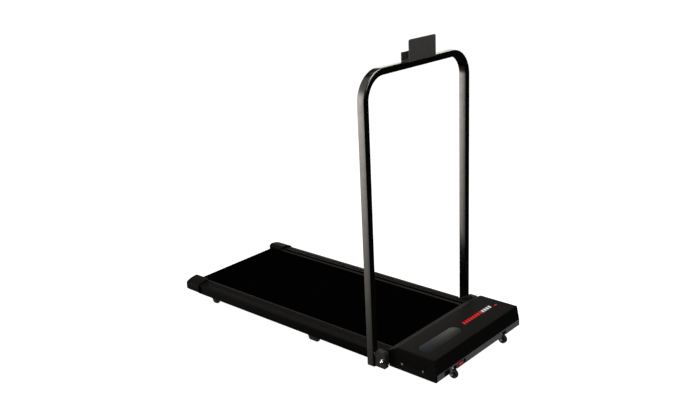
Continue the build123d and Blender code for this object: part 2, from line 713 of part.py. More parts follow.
def display():
    """Smoked window in the hood, with the digit board under it."""
    lens = window_prism(0.0, hood_top - window_thickness, hood_top)
    keep("display_window", fillet(lens.edges().group_by(Axis.Z)[-1], 0.5))
    y = y_nose + window_y_from_nose
    z = hood_top - 9.0
    board = block(window_x0 + 12, window_x0 + 110, y - 17, y + 17, z, z + 1.6)
    pegs = [rod_z(z + 1.6, hood_top - hood_wall, window_x0 + dx, y, 2.0) for dx in (14.5, 107.5)]
    digits = []
    for n in range(4):
        x = window_x0 + 22 + 21 * n
        digits.append(block(x, x + 16, y - 11, y + 11, z + 1.7, hood_top - 2.2))
    keep("display_board", board + pegs[0] + pegs[1], *digits)


# ---------------------------------------------------------------- drive and electronics
def grooved_pulley(x0, x1, y, z, radius, bore):
    """Pulley with V grooves round its rim."""
    pulley = rod_x(x0, x1, y, z, radius) - rod_x(x0 - 1, x1 + 1, y, z, bore)
    for n in range(3):
        x = x0 + 2.2 + n * (x1 - x0 - 4.4) / 2
        groove = ring_x(x - 0.6, x + 0.6, y, z, radius + 1, radius - 1.0)
        pulley -= groove
    return pulley


def drive():
    bore = shaft_radius + 1.0
    keep("roller_pulley",
         grooved_pulley(roller_half, pulley_x1, y_front_roller, roller_z, roller_pulley_radius, bore))
    keep("motor_pulley",
         grooved_pulley(pulley_x0, pulley_x1, y_motor, motor_z, motor_pulley_radius, motor_shaft_radius))
    x0 = pulley_x0 + 1.0
    x1 = x0 + drive_belt_width
    grow = belt_gap + drive_belt_thickness
    outer = loop_x(x0, x1, y_motor, motor_z, motor_pulley_radius + grow,
                   y_front_roller, roller_z, roller_pulley_radius + grow)
    inner = loop_x(x0 - 1, x1 + 1, y_motor, motor_z, motor_pulley_radius + belt_gap,
                   y_front_roller, roller_z, roller_pulley_radius + belt_gap)
    keep("drive_belt", outer - inner)


def motor():
    can = ring_x(motor_x0, motor_x1, y_motor, motor_z, motor_radius, motor_radius - motor_wall)
    keep("motor_can", can)
    bells = []
    for x0, x1 in ((motor_x0 - 8, motor_x0), (motor_x1, motor_x1 + 8)):
        bell = rod_x(x0, x1, y_motor, motor_z, motor_radius - 1.0)
        bells.append(bell - rod_x(x0 - 1, x1 + 1, y_motor, motor_z, motor_shaft_radius + run_fit))
    keep("motor_end_bells", *bells)
    magnets = []
    magnet_outer = motor_radius - motor_wall - 0.1
    ring = ring_x(motor_x0 + 12, motor_x1 - 12, y_motor, motor_z, magnet_outer, motor_radius - 7.5)
    for side in (-1, 1):
        z0 = motor_z + 4 if side > 0 else motor_z - motor_radius
        z1 = motor_z + motor_radius if side > 0 else motor_z - 4
        magnets.append(ring & block(motor_x0, motor_x1, y_motor - motor_radius,
                                    y_motor + motor_radius, z0, z1))
    keep("motor_magnets", *magnets)
    shaft = rod_x(motor_x0 - 26, pulley_x1, y_motor, motor_z, motor_shaft_radius)
    keep("motor_shaft", shaft)
    core = ring_x(motor_x0 + 16, motor_x1 - 16, y_motor, motor_z, motor_radius - 8.5, motor_shaft_radius)
    for n in range(armature_slots):
        angle = math.tau * n / armature_slots
        y = y_motor + (motor_radius - 9.5) * math.cos(angle)
        z = motor_z + (motor_radius - 9.5) * math.sin(angle)
        core -= rod_x(motor_x0, motor_x1, y, z, 1.8)
    keep("motor_armature", core)
    hub = ring_x(motor_x0 - 24, motor_x0 - 12, y_motor, motor_z, 8.0, motor_shaft_radius)
    for n in range(fan_blades):
        blade = block(motor_x0 - 23, motor_x0 - 13, -0.8, 0.8, 7.0, fan_radius)
        hub += Pos(0, y_motor, motor_z) * Rot(360.0 * n / fan_blades, 0, 0) * blade
    keep("motor_fan", hub)
    saddles = []
    straps = []
    for x in (motor_x0 + 22, motor_x1 - 30):
        y0 = front_bar_y + bar_depth / 2
        y1 = rear_bar_y - bar_depth / 2
        x1 = x + saddle_width
        saddle = block(x, x1, y0, y1, tube_z0 + 0.5, bar_z1)
        saddles.append(saddle - rod_x(x - 1, x1 + 1, y_motor, motor_z, motor_radius))
        strap = ring_x(x, x1, y_motor, motor_z, motor_radius + strap_wall, motor_radius)
        strap &= block(x - 1, x1 + 1, y0, y1, bar_z1 + 0.2, hood_top)
        reach = math.sqrt(motor_radius ** 2 - (bar_z1 + ear_height - motor_z) ** 2) + 0.2
        for side in (-1, 1):
            ends = sorted((y_motor + side * reach, y_motor + side * (reach + ear_length)))
            strap += block(x, x1, *ends, bar_z1 + 0.2, bar_z1 + ear_height)
        straps.append(strap)
    keep("motor_saddles", *saddles, *straps)


def electronics():
    """Speed controller on a tray across the motor bay, right of the motor."""
    z = bar_z1
    y0 = front_bar_y - 8.0
    y1 = rear_bar_y + 8.0
    tray = block(tray_x0, tray_x1, y0, y1, z, z + tray_wall)
    for x in (tray_x0 + 7, tray_x1 - 7):
        for y in (y0 + 12, y1 - 12):
            tray += rod_z(z + tray_wall, board_z, x, y, 3.0)
    keep("controller_tray", tray)
    top = board_z + board_thickness
    keep("controller_board", block(tray_x0 + 2, tray_x1 - 2, y0 + 4, y1 - 4, board_z, top))
    sink_x0 = tray_x1 - 32
    sink = block(sink_x0, sink_x0 + 22, y0 + 25, y1 - 25, top, top + 24)
    for n in range(3):
        x = sink_x0 + 2.5 + 6.5 * n
        sink -= block(x, x + 4, y0 + 20, y1 - 20, top + 4, top + 25)
    keep("heat_sink", sink)
    can_x = tray_x1 - 60
    cans = [rod_z(top, top + 22, x, y, 10.0)
            for x, y in ((can_x, y0 + 30), (can_x, y0 + 56), (can_x - 25, y0 + 43))]
    choke_x = tray_x0 + 50
    choke = rod_z(top, top + 13, choke_x, y0 + 42, 15) - rod_z(top - 1, top + 14, choke_x, y0 + 42, 7)
    relay = block(tray_x0 + 9, tray_x0 + 27, y0 + 70, y0 + 90, top, top + 16)
    bridge = block(tray_x0 + 55, tray_x0 + 77, y0 + 78, y0 + 100, top, top + 9)
    keep("board_components", choke, relay, bridge, *cans)


def wire(points, radius):
    """Round wire along a route of straight runs joined by arcs."""
    path = FilletPolyline(*points, radius=[4.0] * (len(points) - 2))
    start = path @ 0
    tangent = path % 0
    return sweep(Plane(origin=start, z_dir=tangent) * Circle(radius), path=path)


def wiring():
    """Leads that rise from the inlet and the switch, pass over the front bar and drop to the board."""
    board_top = board_z + board_thickness + 0.1
    y_board = front_bar_y + 14.0
    leads = []
    inlet_end = panel_z + inlet_height / 2 + 0.1
    switch_end = panel_z + switch_height / 2 + 0.1
    for x, low, rise in ((inlet_x, inlet_end, 12.0), (switch_x, switch_end, 9.0)):
        y = y_nose + 8.5
        high = board_top + rise
        route = [(x, y, low), (x, y, high), (x, y_board, high), (x, y_board, board_top)]
        leads.append(wire(route, wire_radius))
    keep("wire_harness", *leads)


def speed_sensor():
    """Hall sensor on the rear bar, beside the drive belt."""
    foot = block(motor_x1 - 10, motor_x1, rear_bar_y - 6, rear_bar_y + 6, bar_z1, bar_z1 + sensor_height)
    arm = block(motor_x1, pulley_x0 - 5, rear_bar_y - 6, rear_bar_y + 2, bar_z1, bar_z1 + sensor_height)
    keep("speed_sensor", foot + arm)


# ---------------------------------------------------------------------- handrail
def hinge_bracket():
    """Plate welded to the left side tube, with the pivot boss and the open arc slot."""
    top = bracket_top
    outline = [(bracket_y0, floor_gap), (bracket_y1, floor_gap), (bracket_y1, rail_top_outer - 3),
               (y_pivot + 8, rail_top_outer - 3), (y_pivot - 14, top - 6), (y_pivot - 20, top),
               (bracket_y0 + 6, top), (bracket_y0, top - 8)]
    plate = side_prism(outline, web_x0, web_x1)
    spacer = block(tube_outer_x, web_x0, bracket_y0, bracket_y1, tube_z0 + 1, pivot_z - lock_head_radius - 2)
    spacer += rod_x(tube_outer_x, web_x0, y_pivot, pivot_z, pivot_boss_radius)
    bracket = plate + spacer
    half = lock_radius + slot_gap
    slot = ring_x(web_x0 - 1, web_x1 + 1, y_pivot, pivot_z, lock_arm + half, lock_arm - half)
    slot &= block(web_x0 - 1, web_x1 + 1, y_lock - 2 * half, y_pivot, pivot_z, bracket_top + 1)
    slot += rod_x(web_x0 - 1, web_x1 + 1, y_lock, pivot_z, half)
    bracket -= slot
    bracket -= rod_x(tube_outer_x - 1, web_x1 + 1, y_pivot, pivot_z, pivot_radius)
    return bracket


def pivot_stud():
    stud = rod_x(tube_outer_x, handrail_outer_x - 4, y_pivot, pivot_z, pivot_radius)
    return stud - ring_x(clip_x, clip_x + clip_groove, y_pivot, pivot_z, pivot_radius + 1, clip_bore)


def handrail_tube():
    """Bent rectangular tube, an upside-down U across the belt."""
    low = (-handrail_x, y_pivot, handrail_bottom)
    top_left = (-handrail_x, y_pivot, bar_z)
    top_right = (handrail_x, y_pivot, bar_z)
    end = (handrail_x, y_pivot, handrail_bottom)
    path = FilletPolyline(low, top_left, top_right, end, radius=handrail_bend)
    plane = Plane(origin=low, x_dir=(1, 0, 0), z_dir=(0, 0, 1))
    outer = sweep(plane * RectangleRounded(rail_tube_x, rail_tube_y, rail_tube_corner), path=path)
    bore = RectangleRounded(rail_tube_x - 2 * rail_tube_wall, rail_tube_y - 2 * rail_tube_wall,
                            rail_tube_corner - rail_tube_wall)
    tube = outer - sweep(plane * bore, path=path)
    for side in (-1, 1):
        inner_wall = side * (leg_inner_x - 1), side * (leg_inner_x + rail_tube_wall + 0.5)
        tube -= rod_x(*inner_wall, y_pivot, pivot_z, bush_radius)
    return tube


def hinge_lug():
    """Steel block welded to the front of the left leg, drilled for the lock stud."""
    outline = [(leg_front_y, handrail_bottom), (leg_front_y, lug_top - 10), (leg_front_y - 8, lug_top),
               (lug_y0 + 8, lug_top), (lug_y0, lug_top - 8), (lug_y0, handrail_bottom + 3),
               (lug_y0 + 3, handrail_bottom)]
    lug = side_prism(outline, leg_inner_x, lug_outer_x)
    lug = fillet(lug.edges().filter_by(Axis.X).group_by(Axis.Y)[0], 2.5)
    return lug - rod_x(leg_inner_x - 1, handrail_outer_x + 1, y_lock, pivot_z, lock_radius)


def lock_stud():
    """T-headed stud: the round head sits behind the bracket's open slot."""
    head_x1 = web_x0 - body_gap
    stud = rod_x(head_x1 - lock_head_length, head_x1, y_lock, pivot_z, lock_head_radius)
    return stud + rod_x(head_x1, lug_outer_x + nut_depth, y_lock, pivot_z, lock_radius)


def lock_nut():
    """Domed cap nut that clamps the lug against the bracket."""
    x0 = lug_outer_x + body_gap
    x1 = x0 + nut_flange
    x2 = x1 + nut_height
    nut = rod_x(x0, x1, y_lock, pivot_z, nut_flange_radius)
    nut += Pos(x1, y_lock, pivot_z) * Rot(0, 90, 0) * extrude(RegularPolygon(nut_radius, 6), nut_height)
    dome = Pos(x2, y_lock, pivot_z) * Sphere(nut_dome_radius)
    nut += dome & block(x2 - 0.1, x2 + 10, y_lock - 10, y_lock + 10, pivot_z - 10, pivot_z + 10)
    return nut - rod_x(x0 - 1, lug_outer_x + nut_depth + 0.3, y_lock, pivot_z, lock_radius + run_fit)


def leg_plug():
    """Plastic plug in the open lower end of the left leg."""
    width = rail_tube_x - 2 * rail_tube_wall
    depth = rail_tube_y - 2 * rail_tube_wall
    stem = RectangleRounded(width, depth, rail_tube_corner - rail_tube_wall)
    flange = RectangleRounded(rail_tube_x, rail_tube_y, rail_tube_corner)
    plug = extrude(Pos(handrail_x, y_pivot, handrail_bottom) * stem, amount=plug_length)
    foot = Pos(handrail_x, y_pivot, handrail_bottom - plug_flange) * flange
    return plug + extrude(foot, amount=plug_flange)


def hinges():
    bracket = hinge_bracket()
    keep("hinge_brackets", mirrored(bracket), bracket)
    stud = pivot_stud()
    keep("pivot_studs", mirrored(stud), stud)
    clip = ring_x(clip_x + 0.1, clip_x + clip_groove - 0.1, y_pivot, pivot_z, pivot_radius + 3, clip_bore)
    clip -= block(clip_x, clip_x + clip_groove, y_pivot - 2.2, y_pivot + 2.2, pivot_z - 12, pivot_z)
    washer = ring_x(web_x1 + 0.15, leg_inner_x - 0.15, y_pivot, pivot_z, washer_radius, pivot_radius)
    keep("pivot_washers_and_clips", mirrored(washer), washer, mirrored(clip), clip)
    bush = ring_x(leg_inner_x, clip_x - 0.4, y_pivot, pivot_z, bush_radius, pivot_radius + run_fit)
    keep("pivot_bushes", mirrored(bush), bush)


def handrail():
    keep("handrail_tube", handrail_tube())
    lug = hinge_lug()
    keep("hinge_lugs", mirrored(lug), lug)
    stud = lock_stud()
    keep("lock_studs", mirrored(stud), stud)
    nut = lock_nut()
    keep("lock_nut_left", nut)
    keep("lock_nut_right", mirrored(nut))
    plug = leg_plug()
    keep("leg_plugs", mirrored(plug), plug)


def phone_holder():
    """Tray on the top bar: tall back plate, flat base and a low front lip."""
    y_back = leg_front_y - holder_wall - holder_forward
    y_lip = leg_rear_y - 1.0 - holder_forward
    z0 = handrail_top
    plate = RectangleRounded(2 * holder_half, holder_height, holder_corner)
    plate = Pos(0, y_back, (z0 + holder_top) / 2) * Rot(-90, 0, 0) * plate
    base = block(-holder_half, holder_half, y_back, y_lip, z0, z0 + holder_wall)
    lip = block(-holder_half, holder_half, y_lip - holder_wall, y_lip, z0, holder_lip_top)
    lip = fillet(lip.edges().filter_by(Axis.Y).group_by(Axis.Z)[-1], holder_corner)
    tray = extrude(plate, amount=holder_wall) + base + lip
    for x in (-holder_screw_x, holder_screw_x):
        tray -= rod_z(z0 - 1, z0 + 5, x, y_pivot, screw_radius + 0.2)
    keep("phone_holder", tray)
    floor_z = z0 + holder_wall
    pad = block(-holder_half + 4, holder_half - 4, y_back + holder_wall + 1, y_lip - holder_wall - 1,
                floor_z, floor_z + pad_thickness)
    for x in (-holder_screw_x, holder_screw_x):
        pad -= rod_z(z0, z0 + 8, x, y_pivot, 5.0)
    keep("holder_pad", pad)
    screws = []
    for x in (-holder_screw_x, holder_screw_x):
        stem = rod_z(z0, floor_z, x, y_pivot, screw_radius)
        screws.append(stem + rod_z(floor_z, floor_z + 2.2, x, y_pivot, screw_head_radius + 0.2))
    keep("holder_screws", *screws)


def build():
    frame()
    deck()
    rollers()
    tension_bolts()
    rails_and_caps()
    feet()
    wheels()
    hood()
    hood_screws()
    base_pan()
    panel_fittings()
    display()
    drive()
    motor()
    electronics()
    wiring()
    speed_sensor()
    hinges()
    handrail()
    phone_holder()


build()
os.makedirs("parts", exist_ok=True)
for name, shape in parts.items():
    export_step(shape, f"parts/{name}.step")
print(len(parts), "nodes written")
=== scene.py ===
"""Looks of a folding walking treadmill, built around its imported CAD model.

Every place comes from the CAD frame. +X is the walker's left, -Y the hood's front, +Z up; metres.
New pieces are surfaces of two parameters, worked out with numpy. Moulded shells that are already
right in CAD are merged copies with softened edges. Finishes are procedural.
"""

import json
import math

import bmesh
import bpy
import numpy as np
from mathutils import Matrix, Vector


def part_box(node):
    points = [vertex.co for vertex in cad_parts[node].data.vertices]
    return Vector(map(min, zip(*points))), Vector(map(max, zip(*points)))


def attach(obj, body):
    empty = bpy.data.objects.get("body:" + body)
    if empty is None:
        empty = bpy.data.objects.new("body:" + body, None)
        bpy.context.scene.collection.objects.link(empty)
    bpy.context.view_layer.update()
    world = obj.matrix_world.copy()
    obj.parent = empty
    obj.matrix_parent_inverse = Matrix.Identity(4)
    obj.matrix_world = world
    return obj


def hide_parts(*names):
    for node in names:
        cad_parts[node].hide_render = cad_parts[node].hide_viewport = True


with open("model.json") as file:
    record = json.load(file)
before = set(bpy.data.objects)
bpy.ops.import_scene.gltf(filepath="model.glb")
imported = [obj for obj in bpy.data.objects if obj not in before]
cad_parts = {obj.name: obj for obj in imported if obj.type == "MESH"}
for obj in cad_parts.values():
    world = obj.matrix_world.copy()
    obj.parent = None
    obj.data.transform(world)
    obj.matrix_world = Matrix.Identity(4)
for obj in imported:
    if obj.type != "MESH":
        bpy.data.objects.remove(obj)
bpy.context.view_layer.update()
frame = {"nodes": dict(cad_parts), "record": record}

# ------------------------------------------------------------------ sizes, metres
MM = 0.001
TUBE_THICKNESS = 22 * MM        # handrail tube, across the walker
TUBE_CORNER = 4.5 * MM
TUBE_BEND = 85 * MM             # bend radius of the tube's centre line
BELT_THICKNESS = 1.6 * MM
RAIL_WALL = 2.5 * MM
RAIL_DROP = 7.5 * MM            # how far the rail's top slopes down to the outside
RAIL_MARGIN = 5 * MM            # plain strip beside the belt
RAIL_GROOVES = 9
RAIL_GROOVE_PITCH = 2.6 * MM
RAIL_GROOVE_DEPTH = 0.45 * MM
RAIL_NOTCH_GAP = 0.5 * MM
HOLDER_WALL = 3 * MM
HOLDER_LIP_HEIGHT = 29 * MM
HOLDER_CORNER = 6 * MM
HOLDER_BEND = 3 * MM
LENS_EDGE = 0.5 * MM
INK = 0.12 * MM                 # how proud the printed marks stand
MARK_SINK = 0.02 * MM           # how deep marks and digits start under the surface
DIGIT_RISE = 0.03 * MM
DIGIT_WIDTH = 10.4 * MM         # between the middles of a figure's upright segments
DIGIT_HEIGHT = 19 * MM
DIGIT_PITCH = 21 * MM
FIRST_DIGIT = 30 * MM           # from the window's end
SEGMENT_WIDTH = 1.9 * MM
SEGMENT_GAP = 1.2 * MM
DASH_HEIGHT = 16 * MM
DASH_LENGTH = 10 * MM
DASH_PITCH = 14.6 * MM
DASH_CORNER = 0.8 * MM
DASH_LEAN = 0.30                # sideways lean as a share of the height
RED_DASHES = 8
WHITE_DASHES = 4
NUT_FLANGE_RADIUS = 8.5 * MM
NUT_FLANGE_THICKNESS = 1.5 * MM
NUT_HEX_RADIUS = 6.6 * MM
NUT_HEX_THICKNESS = 5 * MM
NUT_DOME_RADIUS = 5.6 * MM
BORE_GAP = 0.05 * MM
AXLE_RADIUS = 3 * MM
WHEEL_HUB = 6.5 * MM
WHEEL_RIM = 4 * MM              # height of the tyre-like rim over the web
WHEEL_RECESS = 1.6 * MM
WHEEL_CROWN = 2.4 * MM
FOOT_TAPER = 6 * MM             # each side of the sole, drawn in
FOOT_CORNER = 5 * MM
MOULDED_SHARP = 34              # degrees between faces past which an edge stays sharp
LEG_PANEL_GLOW = 3.2            # brightness of the tall panel that the legs reflect
BAR_PANEL_GLOW = 2.4            # brightness of the strip that the top bar reflects
ROOM_GLOW = 0.008               # brightness of the rest of the room
FLOOR_RADIUS = 14.0
CAMERA_PLACE = (-2.2425, -2.0628, 1.4778)
CAMERA_YAW = -48.0953           # degrees, to the left of +Y
CAMERA_PITCH = 19.1008          # degrees, downwards
CAMERA_ROLL = -2.586
CAMERA_LENS = 44.518            # millimetres on a sensor 36 wide


# ------------------------------------------------------------- places in the frame
def corners(node):
    """Lowest and highest corner of a CAD node."""
    low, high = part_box(node)
    return np.array(low), np.array(high)


def part_corners(node, side, rear=None):
    """Lowest and highest corner of the solids of a node on one side (-1 or 1), and behind or
    ahead of the node's middle if rear is True or False."""
    mesh = frame["nodes"][node].data
    points = np.empty(len(mesh.vertices) * 3, np.float32)
    mesh.vertices.foreach_get("co", points)
    points = points.reshape(-1, 3)
    middle = (points[:, 1].min() + points[:, 1].max()) / 2
    wanted = points[:, 0] * side > 0
    if rear is not None:
        wanted &= (points[:, 1] > middle) == rear
    return points[wanted].min(0), points[wanted].max(0)


# ------------------------------------------------------------------ outlines (n, 2)
def arc(centre, radius, start, stop, steps):
    """Points on a circle about the centre, from the start angle to the stop angle."""
    angle = np.linspace(start, stop, steps)
    return np.stack([centre[0] + radius * np.cos(angle), centre[1] + radius * np.sin(angle)], 1)


def rounded_rectangle(width, depth, radius, steps=7):
    """Four quarter circles about the inset corners; the straight sides join them."""
    quarters = []
    for turn, (sx, sy) in enumerate(((1, 1), (-1, 1), (-1, -1), (1, -1))):
        centre = (sx * (width / 2 - radius), sy * (depth / 2 - radius))
        quarters.append(arc(centre, radius, turn * math.pi / 2, (turn + 1) * math.pi / 2, steps))
    return np.concatenate(quarters)


def rounded_outline(points, radii, steps=6):
    """A closed polygon with each corner replaced by the arc that touches both of its sides: it
    starts radius / tan(half the corner's angle) before the corner."""
    points = np.asarray(points, float)
    made = []
    for i, radius in enumerate(radii):
        corner = points[i]
        back = points[i - 1] - corner
        ahead = points[(i + 1) % len(points)] - corner
        back = back / np.linalg.norm(back)
        ahead = ahead / np.linalg.norm(ahead)
        if radius == 0:
            made.append(corner[None])
            continue
        half = math.acos(np.clip(back @ ahead, -1, 1)) / 2
        middle = (back + ahead) / np.linalg.norm(back + ahead)
        centre = corner + middle * radius / math.sin(half)
        first = corner + back * radius / math.tan(half) - centre
        last = corner + ahead * radius / math.tan(half) - centre
        turn = math.atan2(first[0] * last[1] - first[1] * last[0], first @ last)
        start = math.atan2(first[1], first[0])
        made.append(arc(centre, radius, start, start + turn, steps))
    return np.concatenate(made)


# ------------------------------------------------------------- shells: (points, faces)
def lattice(points, around=True, along=False, ends=True):
    """Quads over a grid of points (rows along, columns around). The columns close on themselves
    if around, the rows if along, and ends puts one face on the first and the last row."""
    rows, columns = points.shape[:2]
    index = np.arange(rows * columns).reshape(rows, columns)
    next_row = np.roll(index, -1, 0)
    next_column = np.roll(index, -1, 1)
    both = np.roll(next_row, -1, 1)
    quads = np.stack([index, next_column, both, next_row], 2)
    quads = quads[: rows if along else rows - 1, : columns if around else columns - 1]
    faces = quads.reshape(-1, 4).tolist()
    if ends and not along:
        faces += [index[0][::-1].tolist(), index[-1].tolist()]
    return points.reshape(-1, 3), faces


def carried(profile, centres, across, up):
    """Point (i, j) = centre i + profile x of j times across i + profile y of j times up i."""
    sideways = profile[None, :, :1] * across[:, None]
    upwards = profile[None, :, 1:] * up[:, None]
    return centres[:, None] + sideways + upwards


def prism(outline, axis, start, stop, stations=2):
    """An outline carried straight along an axis: a (y, z) one along X if the axis is 0, an (x, z)
    one along Y if it is 1."""
    directions = np.eye(3)
    centres = np.zeros((stations, 3))
    centres[:, axis] = np.linspace(start, stop, stations)
    across = np.tile(directions[1 - axis], (stations, 1))
    up = np.tile(directions[2], (stations, 1))
    return lattice(carried(outline, centres, across, up))


def slab(outline, z0, z1, edge=0.0, steps=4):
    """An (x, y) outline from z0 to z1. Its top edge is a quarter circle of radius edge: ring k
    stands at z1 - edge (1 - sin k) and is drawn in by edge (1 - cos k) along the outline's normal."""
    tangent = np.roll(outline, -1, 0) - np.roll(outline, 1, 0)
    normal = np.stack([tangent[:, 1], -tangent[:, 0]], 1)
    normal /= np.linalg.norm(normal, axis=1)[:, None]
    angle = np.linspace(0, math.pi / 2, steps) if edge else np.zeros(1)
    inset = np.concatenate([[0.0], edge * (1 - np.cos(angle))])
    height = np.concatenate([[z0], z1 - edge * (1 - np.sin(angle))])
    ring = outline[None] - inset[:, None, None] * normal[None]
    level = np.broadcast_to(height[:, None, None], ring.shape[:2] + (1,))
    return lattice(np.concatenate([ring, level], 2))


def turned_about_x(profile, y, z, steps=48, radius_at=None, closed=False):
    """A lathe shape: profile holds (x, radius) pairs. radius_at(radius, angle) may reshape a ring,
    as it does for a hexagon. A closed profile makes a ring with a bore."""
    angle = np.linspace(0, math.tau, steps, endpoint=False)
    x = np.broadcast_to(profile[:, :1], (len(profile), steps))
    radius = np.broadcast_to(profile[:, 1:], (len(profile), steps))
    if radius_at is not None:
        radius = radius_at(radius, angle[None])
    points = np.stack([x, y + radius * np.cos(angle), z + radius * np.sin(angle)], 2)
    return lattice(points, along=closed)


def joined(*shells):
    """Several shells as one."""
    points = []
    faces = []
    start = 0
    for shell_points, shell_faces in shells:
        points.append(shell_points)
        faces += [[start + i for i in face] for face in shell_faces]
        start += len(shell_points)
    return np.concatenate(points), faces


def other_side(shell):
    """The mirror image across the belt's middle plane."""
    points, faces = shell
    return points * (-1, 1, 1), [face[::-1] for face in faces]


# ------------------------------------------------------------------ from shell to piece
def finish_mesh(mesh, sharp_degrees):
    """Outward normals on closed shells, and smooth shading except across sharp edges."""
    work = bmesh.new()
    work.from_mesh(mesh)
    bmesh.ops.recalc_face_normals(work, faces=work.faces)
    work.to_mesh(mesh)
    work.free()
    mesh.shade_smooth()
    mesh.set_sharp_from_angle(angle=math.radians(sharp_degrees))


def soften(piece, width, segments=3, degrees=40):
    """Rounds the sharp edges of a piece."""
    bevel = piece.modifiers.new("edges", "BEVEL")
    bevel.width = width
    bevel.segments = segments
    bevel.limit_method = "ANGLE"
    bevel.angle_limit = math.radians(degrees)
    bevel.harden_normals = True
    return piece


def make_piece(name, shell, node, edge=0.0, sharp=40, stands_for=True):
    """A new piece that rides with a CAD node's body, in that node's finish, and stands for it."""
    points, faces = shell
    mesh = bpy.data.meshes.new(name)
    mesh.from_pydata(points.tolist(), [], faces)
    finish_mesh(mesh, sharp)
    return settle(name, mesh, node, edge, stands_for)


def merged_copy(name, node, edge):
    """A copy of a CAD mesh, with its loose triangles merged and its flat faces made whole."""
    mesh = frame["nodes"][node].data.copy()
    work = bmesh.new()
    work.from_mesh(mesh)
    bmesh.ops.remove_doubles(work, verts=work.verts, dist=2e-6)
    bmesh.ops.dissolve_limit(work, angle_limit=math.radians(0.4), verts=work.verts, edges=work.edges)
    work.to_mesh(mesh)
    work.free()
    mesh.shade_smooth()
    mesh.set_sharp_from_angle(angle=math.radians(MOULDED_SHARP))
    mesh.materials.clear()
    return settle(name, mesh, node, edge)


def settle(name, mesh, node, edge, stands_for=True):
    """Puts a mesh in the scene on the node's body and in the node's finish."""
    piece = bpy.data.objects.new(name, mesh)
    bpy.context.scene.collection.objects.link(piece)
    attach(piece, body_of_node[node])
    if stands_for:
        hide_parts(node)
    slot = slot_of_node[node]
    mesh.materials.append(finishes[slot])
    if edge:
        soften(piece, edge)
    return piece


def refinish(piece, material):
    """Gives a piece a finish of its own in place of its node's."""
    piece.data.materials.clear()
    piece.data.materials.append(material)


# ------------------------------------------------------------------ shader arithmetic
class Amount:
    """A number that varies over a surface: a socket on which ordinary arithmetic works."""

    def __init__(self, paint, socket):
        self.paint = paint
        self.socket = socket

    def maths(self, operation, *others, first=None):
        """This number, or first and this number, through a Math node."""
        values = [self, *others] if first is None else [first, self]
        return self.paint.node("ShaderNodeMath", {"operation": operation}, dict(enumerate(values)))

    def __add__(self, other):
        return self.maths("ADD", other)

    __radd__ = __add__

    def __sub__(self, other):
        return self.maths("SUBTRACT", other)

    def __rsub__(self, other):
        return self.maths("SUBTRACT", first=other)

    def __mul__(self, other):
        return self.maths("MULTIPLY", other)

    __rmul__ = __mul__

    def above(self, limit):
        return self.maths("GREATER_THAN", limit)

    def below(self, limit):
        return self.maths("LESS_THAN", limit)

    def sine(self):
        return self.maths("SINE")

    def between(self, low, high):
        """0 below low, 1 above high and straight between them."""
        inputs = {"Value": self, "From Min": low, "From Max": high}
        return self.paint.node("ShaderNodeMapRange", {"clamp": True}, inputs)


class Paint:
    """One material: a Principled shader and the nodes that feed it."""

    def __init__(self, name, **uniform):
        self.material = bpy.data.materials.new(name)
        self.material.use_nodes = True
        self.tree = self.material.node_tree
        self.shader = self.tree.nodes["Principled BSDF"]
        for key, value in uniform.items():
            self.shader.inputs[key.replace("_", " ").title().replace("Ior", "IOR")].default_value = value
        place = self.tree.nodes.new("ShaderNodeTexCoord")
        self.place = place.outputs["Object"]

    def node(self, kind, settings=None, inputs=None, output=0):
        """Makes a node: its settings first, then its inputs as values, amounts or sockets."""
        made = self.tree.nodes.new(kind)
        for key, value in (settings or {}).items():
            setattr(made, key, value)
        for key, value in (inputs or {}).items():
            self.feed(made.inputs[key], value)
        return Amount(self, made.outputs[output])

    def feed(self, target, value):
        if isinstance(value, Amount):
            self.tree.links.new(value.socket, target)
        elif isinstance(value, bpy.types.NodeSocket):
            self.tree.links.new(value, target)
        else:
            target.default_value = value

    def axis(self, letter):
        """One object coordinate, in metres."""
        return self.node("ShaderNodeSeparateXYZ", {}, {"Vector": self.place}, output="XYZ".index(letter))

    def stretched(self, x=1.0, y=1.0, z=1.0):
        """Object coordinates scaled along each axis."""
        mapped = self.node("ShaderNodeMapping", {}, {"Vector": self.place, "Scale": (x, y, z)})
        return mapped.socket

    def noise(self, size, detail=2.0, roughness=0.5, vector=None):
        """Cloudy variation from 0 to 1 whose features are about size metres across."""
        inputs = {"Vector": vector or self.place, "Scale": 1 / size, "Detail": detail,
                  "Roughness": roughness}
        return self.node("ShaderNodeTexNoise", {}, inputs)

    def cells(self, size, feature="F1", vector=None):
        """Distance to the nearest cell point, or to the cell's edge."""
        inputs = {"Vector": vector or self.place, "Scale": 1 / size}
        return self.node("ShaderNodeTexVoronoi", {"feature": feature}, inputs)

    def upward(self):
        """1 on faces that look up, 0 on upright and lower ones."""
        facing = self.node("ShaderNodeNewGeometry", output=1)
        height = self.node("ShaderNodeSeparateXYZ", {}, {"Vector": facing}, output=2)
        return height.between(0.35, 0.80)

    def blend(self, amount, colour_a, colour_b):
        """Colour a where the amount is 0 and colour b where it is 1."""
        inputs = {"Factor": amount, 6: colour_a, 7: colour_b}
        return self.node("ShaderNodeMix", {"data_type": "RGBA"}, inputs, output=2)

    def surface(self, colour, roughness, height, depth, strength):
        """Feeds what varies into the shader. The bump's height of 1 stands depth metres proud."""
        bump = {"Strength": strength, "Distance": depth, "Height": height}
        self.feed(self.shader.inputs["Base Color"], colour)
        self.feed(self.shader.inputs["Roughness"], roughness)
        self.feed(self.shader.inputs["Normal"], self.node("ShaderNodeBump", {}, bump))
        return self.material


def grey(value, warmth=0.0):
    """An almost neutral colour; warmth above 0 leans to brown and below 0 to blue."""
    return (value * (1 + warmth), value, value * (1 - warmth), 1.0)


